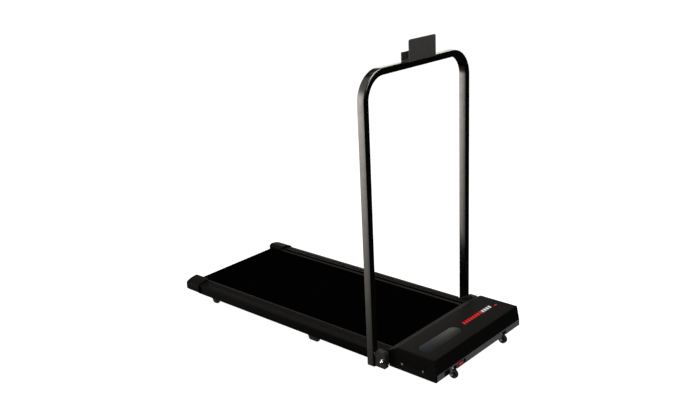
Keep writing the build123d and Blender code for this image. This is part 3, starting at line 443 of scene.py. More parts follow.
# ------------------------------------------------------------------ finishes
def moulded_plastic(name, shade, roughness, warmth=0.06, grain=0.55 * MM, depth=0.035 * MM, specular=0.5,
                    upright=1.0):
    """Spark-eroded mould grain: fine cells over cloudy unevenness, with faint handling marks. Upright
    faces may be darker by the upright factor, a painted shade for the light that misses them."""
    paint = Paint(name, specular_ior_level=specular)
    fine = paint.cells(grain)
    cloud = paint.noise(60 * MM, 3.0)
    rubbed = paint.noise(9 * MM, 4.0, 0.65)
    colour = paint.blend(cloud, grey(shade * 0.86, warmth), grey(shade * 1.14, warmth))
    # Painted shade: upright faces take a darker colour than faces that look up.
    if upright < 1.0:
        colour = paint.blend(paint.upward(), grey(shade * upright, warmth), colour)
    rough = roughness + (cloud - 0.5) * 0.10 + (rubbed - 0.5) * 0.08
    return paint.surface(colour, rough, fine, depth, 0.5)


def rail_plastic():
    """Extruded plastic: fine streaks along the length and a little dust in scuffed patches. Faces that
    don't look up are painted almost black, a painted shade.
    """
    paint = Paint("rail_plastic_finish", specular_ior_level=0.03)
    streaks = paint.noise(1.2 * MM, 3.0, 0.6, vector=paint.stretched(1.0, 0.01, 1.0))
    cloud = paint.noise(80 * MM, 2.0)
    scuffs = paint.noise(3 * MM, 5.0, 0.7, vector=paint.stretched(1.0, 0.35, 1.0)).between(0.58, 0.74)
    base = paint.blend(cloud, grey(0.0078, 0.08), grey(0.0100, 0.08))
    # Painted shade: every face that doesn't look up is painted almost black.
    base = paint.blend(paint.upward(), grey(0.0006), base)
    colour = paint.blend(scuffs * 0.25, base, grey(0.018, 0.05))
    rough = 0.46 + (streaks - 0.5) * 0.14 + scuffs * 0.06
    return paint.surface(colour, rough, streaks, 0.05 * MM, 0.35)


def belt_surface():
    """Diamond-pressed belt: the product of two crossed sine waves, over a fine woven grain."""
    paint = Paint("belt_finish", specular_ior_level=0.0)
    wave = math.tau / (3.2 * MM)
    x = paint.axis("X")
    y = paint.axis("Y")
    diamonds = ((x + y) * wave).sine() * ((x - y) * wave).sine()
    worn = paint.noise(140 * MM, 3.0, 0.6).between(0.35, 0.75)
    lint = paint.noise(1.1 * MM, 2.0, 0.6).between(0.70, 0.80)
    colour = paint.blend(worn, grey(0.0006), grey(0.0011))
    colour = paint.blend(lint * 0.3, colour, grey(0.004))
    height = diamonds + paint.noise(0.5 * MM, 2.0) * 0.4
    rough = 0.72 + (worn - 0.5) * 0.1
    return paint.surface(colour, rough, height, 0.16 * MM, 0.5)


def gloss_tube():
    """Black-nickel gloss coat on steel: orange peel, faint polish marks and finger smudges."""
    paint = Paint("gloss_tube_finish", metallic=1.0)
    peel = paint.noise(5 * MM, 2.0)
    smudge = paint.noise(26 * MM, 4.0, 0.6).between(0.45, 0.75)
    marks = paint.noise(1.4 * MM, 3.0, 0.7, vector=paint.stretched(1.0, 1.0, 0.02))
    colour = paint.blend(smudge, grey(0.150, 0.03), grey(0.128, 0.03))
    rough = 0.17 + smudge * 0.04 + marks * 0.03
    return paint.surface(colour, rough, peel, 0.02 * MM, 0.22)


def powder_coat(name, shade, roughness):
    """Powder-coated steel: orange peel of about 2 mm and a few pinholes."""
    paint = Paint(name, specular_ior_level=0.4)
    peel = paint.noise(2 * MM, 2.0)
    pits = paint.cells(4 * MM).below(0.05)
    colour = paint.blend(paint.noise(50 * MM), grey(shade * 0.85), grey(shade * 1.15))
    rough = roughness + (paint.noise(15 * MM, 3.0) - 0.5) * 0.12
    height = peel - pits * 0.6
    return paint.surface(colour, rough, height, 0.06 * MM, 0.5)


def rubber():
    """Matt rubber with a dusty bloom and a fine moulded grain."""
    paint = Paint("rubber_finish", specular_ior_level=0.25)
    bloom = paint.noise(12 * MM, 4.0, 0.6)
    colour = paint.blend(bloom, grey(0.010), grey(0.022, 0.05))
    rough = 0.78 + (bloom - 0.5) * 0.15
    return paint.surface(colour, rough, paint.noise(0.7 * MM), 0.08 * MM, 0.5)


def metal(name, shade, roughness, warmth=0.0, streak=None, spread=0.12):
    """Bare or plated metal: tone and roughness vary, with scratches that may run one way."""
    paint = Paint(name, metallic=1.0)
    vector = paint.stretched(*streak) if streak else None
    marks = paint.noise(0.9 * MM, 4.0, 0.7, vector=vector)
    cloud = paint.noise(11 * MM, 3.0, 0.6)
    darker = grey(shade * (1 - spread), warmth)
    paler = grey(min(1.0, shade * (1 + spread)), -warmth)
    colour = paint.blend(cloud, darker, paler)
    rough = roughness + (marks - 0.5) * 0.16
    return paint.surface(colour, rough, marks, 0.02 * MM, 0.35)


def cast_metal():
    """As-cast aluminium: sandy pits and dull patches."""
    paint = Paint("cast_aluminium_finish", metallic=1.0)
    sand = paint.noise(0.9 * MM, 3.0, 0.7)
    cloud = paint.noise(14 * MM, 3.0)
    colour = paint.blend(cloud, grey(0.42), grey(0.58))
    rough = 0.48 + (cloud - 0.5) * 0.2
    return paint.surface(colour, rough, sand, 0.12 * MM, 0.6)


def laminate():
    """Phenolic-faced board: smooth black with faint fibres."""
    paint = Paint("deck_laminate_finish", specular_ior_level=0.4)
    fibre = paint.noise(1.4 * MM, 4.0, 0.7, vector=paint.stretched(1.0, 0.08, 1.0))
    colour = paint.blend(fibre, grey(0.016, 0.1), grey(0.032, 0.15))
    rough = 0.38 + (fibre - 0.5) * 0.2
    return paint.surface(colour, rough, fibre, 0.04 * MM, 0.3)


def wound_core():
    """Armature: steel laminations across the axis, copper coils between the teeth."""
    paint = Paint("armature_finish", metallic=1.0)
    plates = (paint.axis("X") * (math.tau / (1.0 * MM))).sine()
    copper = paint.noise(7 * MM, 2.0).between(0.45, 0.55)
    colour = paint.blend(copper, (0.34, 0.33, 0.32, 1.0), (0.55, 0.24, 0.10, 1.0))
    rough = 0.36 + plates * 0.08
    return paint.surface(colour, rough, plates, 0.08 * MM, 0.5)


def circuit_board():
    """Green solder mask with raised copper runs on a square grid."""
    paint = Paint("circuit_board_finish", specular_ior_level=0.6)
    pitch = math.tau / (5 * MM)
    runs = (paint.axis("X") * pitch).sine().above(0.75)
    crossing = (paint.axis("Y") * pitch + paint.noise(30 * MM) * 6).sine().above(0.8)
    copper = runs.maths("MAXIMUM", crossing)
    colour = paint.blend(copper, (0.010, 0.085, 0.035, 1.0), (0.020, 0.150, 0.060, 1.0))
    rough = 0.32 + paint.noise(8 * MM) * 0.1
    return paint.surface(colour, rough, copper, 0.05 * MM, 0.6)


def component_bodies():
    """Moulded and sleeved components, in blue-black with paler patches."""
    paint = Paint("component_finish", specular_ior_level=0.5)
    patch = paint.noise(16 * MM).between(0.48, 0.52)
    colour = paint.blend(patch, (0.012, 0.014, 0.035, 1.0), (0.05, 0.05, 0.055, 1.0))
    rough = 0.35 + paint.noise(2 * MM) * 0.12
    return paint.surface(colour, rough, paint.noise(0.8 * MM), 0.04 * MM, 0.3)


def wire_sleeve():
    """PVC insulation: soft gloss with a slight waviness along the lead."""
    paint = Paint("wire_finish", specular_ior_level=0.5)
    wavy = paint.noise(6 * MM, 2.0)
    colour = paint.blend(wavy, (0.055, 0.012, 0.012, 1.0), (0.085, 0.020, 0.018, 1.0))
    rough = 0.42 + wavy * 0.1
    return paint.surface(colour, rough, wavy, 0.1 * MM, 0.3)


def red_plastic():
    """Translucent red switch plastic that shines by a faint emission, a painted glow, with fine polish
    marks.
    """
    paint = Paint("red_plastic_finish", coat_weight=0.6, coat_roughness=0.1, subsurface_weight=0.15,
                  subsurface_scale=0.002, emission_strength=0.35)
    cloud = paint.noise(3 * MM, 2.0)
    colour = paint.blend(cloud, (0.55, 0.006, 0.022, 1.0), (0.72, 0.012, 0.035, 1.0))
    marks = paint.noise(0.5 * MM, 3.0, 0.7)
    # Painted glow: the red is also fed to the emission, so the rocker glows in its own colour.
    paint.feed(paint.shader.inputs["Emission Color"], colour)
    return paint.surface(colour, 0.22 + marks * 0.12, marks, 0.015 * MM, 0.3)


def smoked_window():
    """Smoked acrylic over the display: blue-black over the digits, grey at the round left end; that grey
    is a lighter overlay whose tone also holds a painted reflection of the backdrop.
    """
    low, high = corners("display_window")
    paint = Paint("smoked_window_finish", specular_ior_level=0.35, coat_weight=0.10, coat_roughness=0.2)
    along = paint.axis("X").between(float(low[0]), float(high[0]))
    haze = paint.noise(60 * MM, 2.0, 0.5)
    # Painted reflection: the lens turns from blue-black to grey towards +X, where the backdrop's
    # reflection was seen.
    tone = paint.blend((along + (haze - 0.5) * 0.06).between(0.28, 0.60), (0.0030, 0.0048, 0.0078, 1.0),
                       (0.0125, 0.0135, 0.0118, 1.0))
    rough = 0.34 + haze * 0.06
    return paint.surface(tone, rough, haze, 0.02 * MM, 0.15)


def unlit_digits():
    """Unlit display segments, a dim blue-violet that the smoked face lets through."""
    paint = Paint("unlit_digit_finish", specular_ior_level=0.4)
    start = float(corners("display_window")[0][0])
    along = paint.axis("X").between(start, start + 120 * MM)
    colour = paint.blend(along, (0.006, 0.006, 0.034, 1.0), (0.005, 0.014, 0.020, 1.0))
    dots = paint.cells(0.9 * MM)
    rough = 0.35 + dots * 0.15
    return paint.surface(colour, rough, dots, 0.02 * MM, 0.2)


def printed_ink(name, colour, worn):
    """Screen-printed ink, a little uneven, with tiny specks worn away."""
    paint = Paint(name, specular_ior_level=0.4)
    cloud = paint.noise(5 * MM, 4.0, 0.7)
    specks = paint.noise(0.7 * MM, 3.0, 0.7).between(0.70, 0.76)
    tone = paint.blend(cloud * 0.35, colour, worn)
    tone = paint.blend(specks, tone, grey(0.02))
    rough = 0.40 + cloud * 0.12
    return paint.surface(tone, rough, specks, 0.02 * MM, 0.3)


finishes = {
    "black_frame_paint": powder_coat("frame_coat_finish", 0.010, 0.46),
    "gloss_black_tube": gloss_tube(),
    # The hood's upright faces are painted darker (upright=0.42): painted shade.
    "black_hood_plastic": moulded_plastic("hood_plastic_finish", 0.0080, 0.55, warmth=0.10,
                                          specular=0.04, upright=0.42),
    "grey_lip_plastic": moulded_plastic("lip_plastic_finish", 0.075, 0.50, 0.0),
    "rail_plastic": rail_plastic(),
    "belt_black": belt_surface(),
    "deck_laminate": laminate(),
    "black_rubber": rubber(),
    "wheel_plastic": moulded_plastic("wheel_plastic_finish", 0.012, 0.42, 0.0),
    "zinc_steel": metal("zinc_finish", 0.52, 0.34, 0.03),
    "bearing_steel": metal("bearing_steel_finish", 0.62, 0.20, 0.0, streak=(0.05, 1.0, 1.0)),
    "chrome": metal("chrome_finish", 0.85, 0.16, 0.0, spread=0.04),
    "red_plastic": red_plastic(),
    "black_gloss_plastic": moulded_plastic("gloss_plastic_finish", 0.012, 0.24, 0.0, depth=0.01 * MM),
    "smoked_window": smoked_window(),
    "holder_plastic": moulded_plastic("holder_plastic_finish", 0.036, 0.52, 0.09, grain=0.8 * MM),
    "motor_can_steel": powder_coat("motor_can_finish", 0.03, 0.35),
    "aluminium_cast": cast_metal(),
    "magnet_grey": powder_coat("ferrite_finish", 0.09, 0.62),
    "armature_core": wound_core(),
    "circuit_green": circuit_board(),
    "component_black": component_bodies(),
    "wire_insulation": wire_sleeve(),
    "nylon_natural": moulded_plastic("nylon_finish", 0.62, 0.45, 0.05),
}
slot_of_node = {part["node"]: part["material_slot"] for part in frame["record"]["subparts"]}
bodies = frame["record"]["behaviour"]["bodies"]
body_of_node = {node: body for body, nodes in bodies.items() for node in nodes}


def paint_cad_nodes():
    """Every carried-over CAD node gets the finish of its slot."""
    for name, node in frame["nodes"].items():
        if not node.data.materials:
            node.data.materials.append(None)
        for slot in node.material_slots:
            slot.material = finishes[slot_of_node[name]]


# ------------------------------------------------------------------ handrail
def handrail_path(half, z_foot, z_bar, straight=10, bend=26):
    """Centre line of an upside-down U in the XZ plane, with the outward direction at each point:
    up the right leg, a quarter circle, along the bar, a quarter circle, down the left leg."""
    corner_x = half - TUBE_BEND
    corner_z = z_bar - TUBE_BEND
    leg_z = np.linspace(z_foot, corner_z, straight)[:-1]
    leg = np.stack([np.full_like(leg_z, -half), leg_z], 1)
    leg_out = np.tile([-1.0, 0.0], (len(leg), 1))
    angle = np.linspace(math.pi, math.pi / 2, bend)
    turn_out = np.stack([np.cos(angle), np.sin(angle)], 1)
    turn = np.array([-corner_x, corner_z]) + TUBE_BEND * turn_out
    line = np.concatenate([leg, turn])
    out = np.concatenate([leg_out, turn_out])
    line = np.concatenate([line, line[::-1] * (-1, 1)])
    out = np.concatenate([out, out[::-1] * (-1, 1)])
    return line, out


def handrail():
    """Rounded-rectangle tube section carried along the bent path."""
    low, high = corners("handrail_tube")
    line, out = handrail_path(high[0] - TUBE_THICKNESS / 2, low[2], high[2] - TUBE_THICKNESS / 2)
    y = (low[1] + high[1]) / 2
    section = rounded_rectangle(TUBE_THICKNESS, high[1] - low[1], TUBE_CORNER)
    centres = np.stack([line[:, 0], np.full(len(line), y), line[:, 1]], 1)
    across = np.stack([out[:, 0], 0 * out[:, 0], out[:, 1]], 1)
    up = np.tile([0.0, 1.0, 0.0], (len(line), 1))
    make_piece("handrail_bent_tube", lattice(carried(section, centres, across, up)), "handrail_tube")


def phone_holder():
    """A J-shaped (y, z) profile carried along X. Above the lip every height is scaled so that the
    back plate's top edge follows h(x), which falls as a quarter circle at both upper corners."""
    low, high = corners("phone_holder")
    wall = HOLDER_WALL
    inner = 1 * MM
    edge = 1.2 * MM
    lip_top = low[2] + HOLDER_LIP_HEIGHT
    profile = rounded_outline(
        [(low[1], low[2]), (high[1], low[2]), (high[1], lip_top), (high[1] - wall, lip_top),
         (high[1] - wall, low[2] + wall), (low[1] + wall, low[2] + wall), (low[1] + wall, high[2]),
         (low[1], high[2])],
        [inner, HOLDER_BEND, edge, edge, inner, inner, edge, edge])
    angle = np.linspace(0, math.pi / 2, 12)
    corner_x = high[0] - HOLDER_CORNER + HOLDER_CORNER * np.sin(angle)
    corner_z = high[2] - HOLDER_CORNER + HOLDER_CORNER * np.cos(angle)
    x = np.concatenate([-corner_x[::-1], corner_x])
    top = np.concatenate([corner_z[::-1], corner_z])
    points = np.empty((len(x), len(profile), 3))
    points[:, :, 0] = x[:, None]
    points[:, :, 1] = profile[None, :, 0]
    share = np.clip((profile[:, 1] - lip_top) / (high[2] - lip_top), 0, 1)
    points[:, :, 2] = profile[None, :, 1] - share[None] * (high[2] - top)[:, None]
    make_piece("phone_tray", lattice(points), "phone_holder", edge=0.6 * MM)


def holder_pad():
    """Thin ribbed rubber mat in the tray: height = a row of half sine ribs along X."""
    low, high = corners("holder_pad")
    y = np.linspace(low[1], high[1], 61)
    ribs = np.abs(np.sin((y - low[1]) / (high[1] - low[1]) * math.pi * 6))
    top = np.stack([y, high[2] - 0.5 * MM + 0.5 * MM * ribs], 1)
    base = np.array([[high[1], low[2]], [low[1], low[2]]])
    make_piece("tray_mat", prism(np.concatenate([top, base]), 0, low[0], high[0]), "holder_pad")


def hexagon(radius, angle):
    """Radius of a hexagon about its inner circle: radius / cos(angle to the nearest flat's middle)."""
    from_flat = np.mod(angle + math.pi / 6, math.pi / 3) - math.pi / 6
    return radius / np.cos(from_flat)


def lock_nut(name, node, side):
    """Domed cap nut turned about X: round flange, chamfered hexagon and hemisphere."""
    low, high = corners(node)
    centre = (low + high) / 2
    start = low[0] if side > 0 else -high[0]
    flange = start + NUT_FLANGE_THICKNESS
    hexagon_top = flange + NUT_HEX_THICKNESS
    chamfer = 0.8 * MM
    edge = 0.5 * MM

    def cut_hexagon(radius, angle):
        """The flange stays round; every smaller ring becomes a hexagon."""
        is_flange = radius > NUT_HEX_RADIUS * 1.01
        return np.where(is_flange, radius, hexagon(radius, angle))

    flange_edge = arc((flange - edge, NUT_FLANGE_RADIUS - edge), edge, math.pi / 2, 0, 4)
    dome_angle = np.linspace(0.28, math.pi / 2 - 0.02, 12)
    dome = np.stack([hexagon_top + NUT_DOME_RADIUS * np.sin(dome_angle) - 0.2 * MM,
                     NUT_DOME_RADIUS * np.cos(dome_angle)], 1)
    profile = np.concatenate([
        [[start, NUT_FLANGE_RADIUS]], flange_edge, [[flange, NUT_HEX_RADIUS + 0.15 * MM]],
        [[flange + 0.1 * MM, NUT_HEX_RADIUS], [hexagon_top - chamfer, NUT_HEX_RADIUS]],
        [[hexagon_top, NUT_HEX_RADIUS - chamfer]], dome])
    profile = profile * (side, 1)
    shell = turned_about_x(profile, centre[1], centre[2], steps=72, radius_at=cut_hexagon)
    make_piece(name, shell, node, sharp=28)


# ------------------------------------------------------------------ belt and rails
def running_belt():
    """A flat rounded section carried round a loop: the upper run, a half circle at the rear roller,
    the lower run and a half circle at the front roller."""
    low, high = corners("running_belt")
    outer = (high[2] - low[2]) / 2
    middle = outer - BELT_THICKNESS / 2
    z = (low[2] + high[2]) / 2
    steps = 36
    rear = arc((high[1] - outer, z), middle, math.pi / 2, -math.pi / 2, steps)
    front = arc((low[1] + outer, z), middle, -math.pi / 2, -3 * math.pi / 2, steps)
    line = np.concatenate([rear, front])
    turn = np.concatenate([np.linspace(math.pi / 2, -math.pi / 2, steps),
                           np.linspace(-math.pi / 2, -3 * math.pi / 2, steps)])
    centres = np.stack([0 * turn, line[:, 0], line[:, 1]], 1)
    across = np.tile([1.0, 0.0, 0.0], (len(turn), 1))
    out = np.stack([0 * turn, np.cos(turn), np.sin(turn)], 1)
    section = rounded_rectangle(high[0] - low[0], BELT_THICKNESS, 0.6 * MM, steps=4)
    loop = lattice(carried(section, centres, across, out), along=True)
    make_piece("walking_belt", loop, "running_belt")


def rail_section(low, high, outer_x):
    """(x, z) section of the left rail up to outer_x. The top slopes down to the outside and has
    shallow cosine grooves; past the outer edge a wall hangs down to the rail's foot."""
    slope = RAIL_DROP / (high[0] - low[0])
    whole = outer_x > high[0] - RAIL_WALL
    lip_z = high[2] - RAIL_DROP

    def top_at(x):
        return high[2] - slope * (x - low[0])

    first = low[0] + RAIL_MARGIN
    last = first + RAIL_GROOVES * RAIL_GROOVE_PITCH
    groove_x = np.linspace(first, last, 12 * RAIL_GROOVES + 1)
    wave = 0.5 - 0.5 * np.cos((groove_x - first) / RAIL_GROOVE_PITCH * math.tau)
    grooves = np.stack([groove_x, top_at(groove_x) - RAIL_GROOVE_DEPTH * wave], 1)
    inner = arc((low[0] + 1.5 * MM, high[2] - 1.7 * MM), 1.5 * MM, math.pi, math.pi / 2, 6)
    start = np.array([[low[0], lip_z]])
    under = [[low[0] + RAIL_WALL, high[2] - RAIL_WALL - 0.3 * MM], [low[0] + RAIL_WALL, lip_z]]
    if whole:
        shoulder = arc((high[0] - 3 * MM, top_at(high[0]) - 2.6 * MM), 3 * MM, math.radians(81), 0, 8)
        wall_x = high[0] - RAIL_WALL
        wall_top = top_at(high[0]) - 3.2 * MM
        tail = np.array([[high[0], low[2]], [wall_x, low[2]], [wall_x, wall_top], *under])
    else:
        shoulder = np.array([[outer_x, top_at(outer_x)]])
        tail = np.array([[outer_x, top_at(outer_x) - RAIL_WALL], *under])
    return np.concatenate([start, inner, grooves, shoulder, tail])


def side_rails():
    """Each rail is a section carried along Y; ahead of the hinge only its inner part goes on."""
    low, high = corners("side_rail_left")
    bracket_end = corners("hinge_brackets")[1][1] + RAIL_NOTCH_GAP
    notch_x = corners("frame_tube_left")[1][0] - RAIL_NOTCH_GAP
    main = prism(rail_section(low, high, high[0]), 1, bracket_end, high[1], 12)
    stub = prism(rail_section(low, high, notch_x), 1, low[1], bracket_end, 3)
    shell = joined(main, stub)
    make_piece("footrest_left", shell, "side_rail_left", sharp=38)
    make_piece("footrest_right", other_side(shell), "side_rail_right", sharp=38)


# ------------------------------------------------------------------ feet and wheels
def rubber_feet():
    """Rounded-rectangle pads whose sides swell upwards as a quarter ellipse."""
    pads = []
    for side in (-1, 1):
        for rear in (False, True):
            low, high = part_corners("rubber_feet", side, rear)
            size = high - low
            centre = (low + high) / 2
            share = np.linspace(0, 1, 9)
            height = size[2] * (1 - np.cos(share * math.pi / 2))
            draw = FOOT_TAPER * (1 - np.sin(share * math.pi / 2))
            rings = []
            for z, inset in zip(height, draw):
                outline = rounded_rectangle(size[0] - 2 * inset, size[1] - 2 * inset, FOOT_CORNER)
                rings.append(np.column_stack([outline + centre[:2], np.full(len(outline), z)]))
            pads.append(lattice(np.stack(rings)))
    make_piece("floor_pads", joined(*pads), "rubber_feet")


def transport_wheels():
    """A closed (x, radius) profile turned about the axle: crowned tread, rims and a thin web."""
    for name in ("left", "right"):
        low, high = corners("wheel_" + name)
        centre = (low + high) / 2
        radius = (high[2] - low[2]) / 2
        half = (high[0] - low[0]) / 2
        rim = radius - WHEEL_RIM
        web_x = WHEEL_RECESS - half
        cheek = [(-half, AXLE_RADIUS + BORE_GAP), (-half, WHEEL_HUB), (web_x, WHEEL_HUB + 0.7 * MM),
                 (web_x, rim - 0.6 * MM), (-half, rim), (-half, radius)]
        other_cheek = [(-x, r) for x, r in cheek[::-1]]
        rounding = [0.4 * MM] + [0.6 * MM] * 4 + [WHEEL_CROWN]
        outline = rounded_outline(cheek + other_cheek, rounding + rounding[::-1], steps=5)
        profile = outline + (centre[0], 0)
        shell = turned_about_x(profile, centre[1], centre[2], steps=64, closed=True)
        make_piece("roll_away_wheel_" + name, shell, "wheel_" + name)


# ------------------------------------------------------------------ display and marks
def stadium(low, high, steps=24):
    """Outline of a straight strip with a half circle at each end."""
    radius = (high[1] - low[1]) / 2
    y = (low[1] + high[1]) / 2
    right = arc((high[0] - radius, y), radius, -math.pi / 2, math.pi / 2, steps)
    left = arc((low[0] + radius, y), radius, math.pi / 2, 3 * math.pi / 2, steps)
    return np.concatenate([right, left])


def display_window():
    """Stadium slab with a rounded upper edge."""
    low, high = corners("display_window")
    shell = slab(stadium(low, high), low[2], high[2], LENS_EDGE, steps=5)
    make_piece("display_face", shell, "display_window", sharp=30)


def display_digits():
    """Four seven-segment figures, read from the belt: up is -Y and the next figure lies towards -X.
    A segment is a bar with pointed ends, placed by its middle and its direction."""
    low, high = corners("display_window")
    half_width = DIGIT_WIDTH / 2
    half_height = DIGIT_HEIGHT / 2
    tip = SEGMENT_WIDTH / 2
    bars = [(0, 1, 0), (0, 0, 0), (0, -1, 0), (-1, 0.5, 1), (1, 0.5, 1), (-1, -0.5, 1), (1, -0.5, 1)]
    shells = []
    for digit in range(4):
        centre_x = low[0] + FIRST_DIGIT + DIGIT_PITCH * digit
        centre_y = (low[1] + high[1]) / 2
        for across, up, upright in bars:
            length = (half_height if upright else DIGIT_WIDTH) - SEGMENT_GAP
            bar = np.array([(-length / 2, 0), (-length / 2 + tip, -tip), (length / 2 - tip, -tip),
                            (length / 2, 0), (length / 2 - tip, tip), (-length / 2 + tip, tip)])
            if upright:
                bar = bar[:, ::-1] * (-1, 1)
            place = (centre_x - across * half_width, centre_y - up * half_height)
            shells.append(slab(bar + place, high[2] - MARK_SINK, high[2] + DIGIT_RISE))
    piece = make_piece("display_segments", joined(*shells), "display_window", stands_for=False)
    refinish(piece, unlit_digits())


def slanted_dash(x0, x1, y0, y1, z):
    """A parallelogram with soft corners whose ends lean by three tenths of its height."""
    lean = (y1 - y0) * DASH_LEAN
    corner_points = [(x0, y0), (x1, y0), (x1 + lean, y1), (x0 + lean, y1)]
    return slab(rounded_outline(corner_points, [DASH_CORNER] * 4, 4), z - MARK_SINK, z + INK)


def hood_marks():
    """A row of plain slanted dashes, red and then white, with one low red dash set apart."""
    top = corners("motor_hood")[1][2]
    window_low, window_high = corners("display_window")
    y = (window_low[1] + window_high[1]) / 2 + 4 * MM
    front = y - DASH_HEIGHT / 2
    back = y + DASH_HEIGHT / 2

    def row(start, count):
        begins = [start + n * DASH_PITCH for n in range(count)]
        return [slanted_dash(x, x + DASH_LENGTH, front, back, top) for x in begins]

    first_red = window_high[0] + 35 * MM
    first_white = first_red + RED_DASHES * DASH_PITCH
    apart = first_white + WHITE_DASHES * DASH_PITCH + 10 * MM
    red = row(first_red, RED_DASHES)
    red.append(slanted_dash(apart, apart + 16 * MM, front - 3 * MM, front + 1 * MM, top))
    white = row(first_white, WHITE_DASHES)
    red_ink = printed_ink("red_ink_finish", (0.90, 0.004, 0.006, 1.0), (0.66, 0.003, 0.005, 1.0))
    white_ink = printed_ink("white_ink_finish", grey(0.85), grey(0.65))
    marks = (("hood_dashes_red", red, red_ink), ("hood_dashes_white", white, white_ink))
    for name, dashes, ink in marks:
        piece = make_piece(name, joined(*dashes), "motor_hood", stands_for=False)
        refinish(piece, ink)


# ------------------------------------------------------------------ moulded and formed parts
def formed_parts():
    """Merged copies of CAD meshes whose shape is right, with their sharp edges softened."""
    copies = (
        ("hood_moulding", "motor_hood", 0.5),
        ("tail_cap_left", "end_cap_left", 0.5),
        ("tail_cap_right", "end_cap_right", 0.5),
        ("front_tray", "base_pan", 0.4),
        ("bracket_plates", "hinge_brackets", 0.6),
        ("leg_lugs", "hinge_lugs", 1.2),
        ("fork_cheeks", "wheel_forks", 0.4),
        ("leg_end_plugs", "leg_plugs", 0.5),
        ("switch_bezel", "switch_housing", 0.4),
        ("red_rocker", "power_rocker", 0.5),
        ("inlet_socket", "mains_inlet", 0.4),
        ("reset_collar", "breaker_body", 0.4),
    )
    for name, node, edge in copies:
        merged_copy(name, node, edge * MM)


# ------------------------------------------------------------------ stage, light and camera
def light_panel(name, place, aim, width, height, power):
    """A soft rectangular panel at a place, facing a point."""
    data = bpy.data.lights.new(name, "AREA")
    data.shape = "RECTANGLE"
    data.size = width
    data.size_y = height
    data.energy = power
    panel = bpy.data.objects.new(name, data)
    panel.location = place
    panel.rotation_mode = "QUATERNION"
    panel.rotation_quaternion = (Vector(aim) - Vector(place)).to_track_quat("-Z", "Y")
    bpy.context.scene.collection.objects.link(panel)


def studio_floor():
    """A wide pale disc at floor level. It shines evenly, so that no shade shows on it, and from
    below it is clear, so that the underside can be looked at."""
    steps = 96
    angle = np.linspace(0, math.tau, steps, endpoint=False)
    ring = np.stack([FLOOR_RADIUS * np.cos(angle), FLOOR_RADIUS * np.sin(angle),
                     np.full(steps, -0.2 * MM)], 1)
    mesh = bpy.data.meshes.new("studio_floor")
    mesh.from_pydata(ring.tolist(), [], [list(range(steps))])
    floor = bpy.data.objects.new("studio_floor", mesh)
    bpy.context.scene.collection.objects.link(floor)
    floor.visible_glossy = False
    paint = Paint("studio_floor_finish", roughness=1.0, specular_ior_level=0.0)
    paint.shader.inputs["Base Color"].default_value = grey(0.30)
    paint.shader.inputs["Emission Color"].default_value = (1.0, 1.0, 1.0, 1.0)
    paint.shader.inputs["Emission Strength"].default_value = 1.0
    clear = paint.tree.nodes.new("ShaderNodeBsdfTransparent")
    facing = paint.tree.nodes.new("ShaderNodeNewGeometry")
    mixed = paint.tree.nodes.new("ShaderNodeMixShader")
    links = paint.tree.links
    links.new(facing.outputs["Backfacing"], mixed.inputs[0])
    links.new(paint.shader.outputs[0], mixed.inputs[1])
    links.new(clear.outputs[0], mixed.inputs[2])
    links.new(mixed.outputs[0], paint.tree.nodes["Material Output"].inputs["Surface"])
    mesh.materials.append(paint.material)


def glow_profile(tree, value, stops):
    """A curve over a number from -1 to 1, straight between its (place, glow) stops."""
    scaled = tree.nodes.new("ShaderNodeMapRange")
    scaled.inputs["From Min"].default_value = -1.0
    scaled.inputs["From Max"].default_value = 1.0
    tree.links.new(value, scaled.inputs["Value"])
    profile = tree.nodes.new("ShaderNodeFloatCurve")
    curve = profile.mapping.curves[0]
    curve.points[0].location = (0.0, stops[0][1])
    curve.points[1].location = (1.0, stops[-1][1])
    for place, glow in stops[1:-1]:
        curve.points.new((place + 1) / 2, glow)
    for point in curve.points:
        point.handle_type = "VECTOR"
    profile.mapping.update()
    tree.links.new(scaled.outputs[0], profile.inputs["Value"])
    return profile.outputs[0]


def combined(tree, operation, *glows):
    """Glows, as sockets or numbers, added or multiplied from first to last."""
    result = glows[0]
    for glow in glows[1:]:
        node = tree.nodes.new("ShaderNodeMath")
        node.operation = operation
        tree.links.new(result, node.inputs[0])
        if isinstance(glow, float):
            node.inputs[1].default_value = glow
        else:
            tree.links.new(glow, node.inputs[1])
        result = node.outputs[0]
    return result


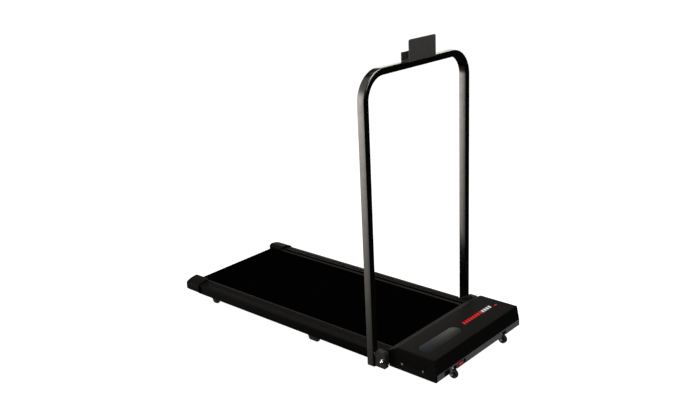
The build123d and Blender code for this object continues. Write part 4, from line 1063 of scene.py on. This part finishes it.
def studio_world():
    """White to the camera. In light and reflections there are two soft panels behind the walker's
    end, each the product of a profile round the horizon and one upwards: a tall one on the right
    for the handrail's legs, a low strip on the left for its top bar. All else glows dimly."""
    world = bpy.data.worlds.new("studio_world")
    bpy.context.scene.world = world
    world.use_nodes = True
    tree = world.node_tree
    make = tree.nodes.new
    link = tree.links.new
    parts = make("ShaderNodeSeparateXYZ")
    link(make("ShaderNodeTexCoord").outputs["Generated"], parts.inputs[0])
    flat = make("ShaderNodeCombineXYZ")
    link(parts.outputs["X"], flat.inputs["X"])
    link(parts.outputs["Y"], flat.inputs["Y"])
    unit = make("ShaderNodeVectorMath")
    unit.operation = "NORMALIZE"
    link(flat.outputs[0], unit.inputs[0])
    level = make("ShaderNodeSeparateXYZ")
    link(unit.outputs[0], level.inputs[0])
    behind = glow_profile(tree, level.outputs["Y"], [(-1, 0), (0.42, 0), (0.52, 0.5), (0.64, 1), (1, 1)])
    on_right = glow_profile(tree, level.outputs["X"], [(-1, 1), (-0.15, 1), (0.10, 0), (1, 0)])
    on_left = glow_profile(tree, level.outputs["X"], [(-1, 0), (0.10, 0), (0.35, 1), (1, 1)])
    tall = glow_profile(tree, parts.outputs["Z"], [
        (-1, 0), (-0.48, 0.03), (-0.44, 0.07), (-0.40, 0.17), (-0.354, 0.38), (-0.306, 0.5),
        (-0.254, 0.72), (-0.21, 0.95), (-0.15, 1), (0.1, 1), (0.2, 0.8), (0.35, 0.35),
        (0.45, 0.16), (1, 0.10)])
    strip = glow_profile(tree, parts.outputs["Z"], [
        (-1, 0), (0, 0), (0.10, 1), (0.22, 1), (0.34, 0), (1, 0)])
    legs = combined(tree, "MULTIPLY", behind, on_right, tall, LEG_PANEL_GLOW)
    bar = combined(tree, "MULTIPLY", behind, on_left, strip, BAR_PANEL_GLOW)
    glow = combined(tree, "ADD", legs, bar, ROOM_GLOW)
    lit = make("ShaderNodeBackground")
    lit.inputs["Color"].default_value = (1.0, 0.965, 0.90, 1.0)
    link(glow, lit.inputs["Strength"])
    seen = tree.nodes["Background"]
    seen.inputs["Color"].default_value = (1.0, 1.0, 1.0, 1.0)
    seen.inputs["Strength"].default_value = 1.0
    rays = make("ShaderNodeLightPath")
    mixed = make("ShaderNodeMixShader")
    link(rays.outputs["Is Camera Ray"], mixed.inputs[0])
    link(lit.outputs[0], mixed.inputs[1])
    link(seen.outputs[0], mixed.inputs[2])
    link(mixed.outputs[0], tree.nodes["World Output"].inputs["Surface"])


def studio():
    studio_floor()
    studio_world()
    light_panel("overhead_panel", (0.2, -0.4, 3.0), (0.0, -0.1, 0.0), 2.4, 2.0, 60.0)
    light_panel("fill_panel", (-0.4, -3.6, 2.6), (0.0, -0.3, 0.3), 2.0, 1.6, 30.0)


def camera():
    """Stands at the walker's front right, higher than the handrail, and looks down at the machine
    with a slight roll."""
    yaw = math.radians(CAMERA_YAW)
    pitch = math.radians(CAMERA_PITCH)
    roll = math.radians(CAMERA_ROLL)
    forward = Vector((-math.sin(yaw) * math.cos(pitch), math.cos(yaw) * math.cos(pitch),
                      -math.sin(pitch)))
    level = Vector((math.cos(yaw), math.sin(yaw), 0.0))
    upright = level.cross(forward)
    right = math.cos(roll) * level + math.sin(roll) * upright
    up = -math.sin(roll) * level + math.cos(roll) * upright
    data = bpy.data.cameras.new("camera")
    data.lens = CAMERA_LENS
    data.sensor_width = 36.0
    data.clip_start = 0.05
    data.clip_end = 60.0
    eye = bpy.data.objects.new("camera", data)
    turn = Matrix((right, up, -forward)).transposed().to_4x4()
    eye.matrix_world = Matrix.Translation(CAMERA_PLACE) @ turn
    bpy.context.scene.collection.objects.link(eye)
    bpy.context.scene.camera = eye
    bpy.context.scene.view_settings.view_transform = "Standard"


def build():
    paint_cad_nodes()
    handrail()
    phone_holder()
    holder_pad()
    lock_nut("cap_nut_left", "lock_nut_left", 1)
    lock_nut("cap_nut_right", "lock_nut_right", -1)
    running_belt()
    side_rails()
    rubber_feet()
    transport_wheels()
    display_window()
    display_digits()
    hood_marks()
    formed_parts()
    studio()
    camera()


build()
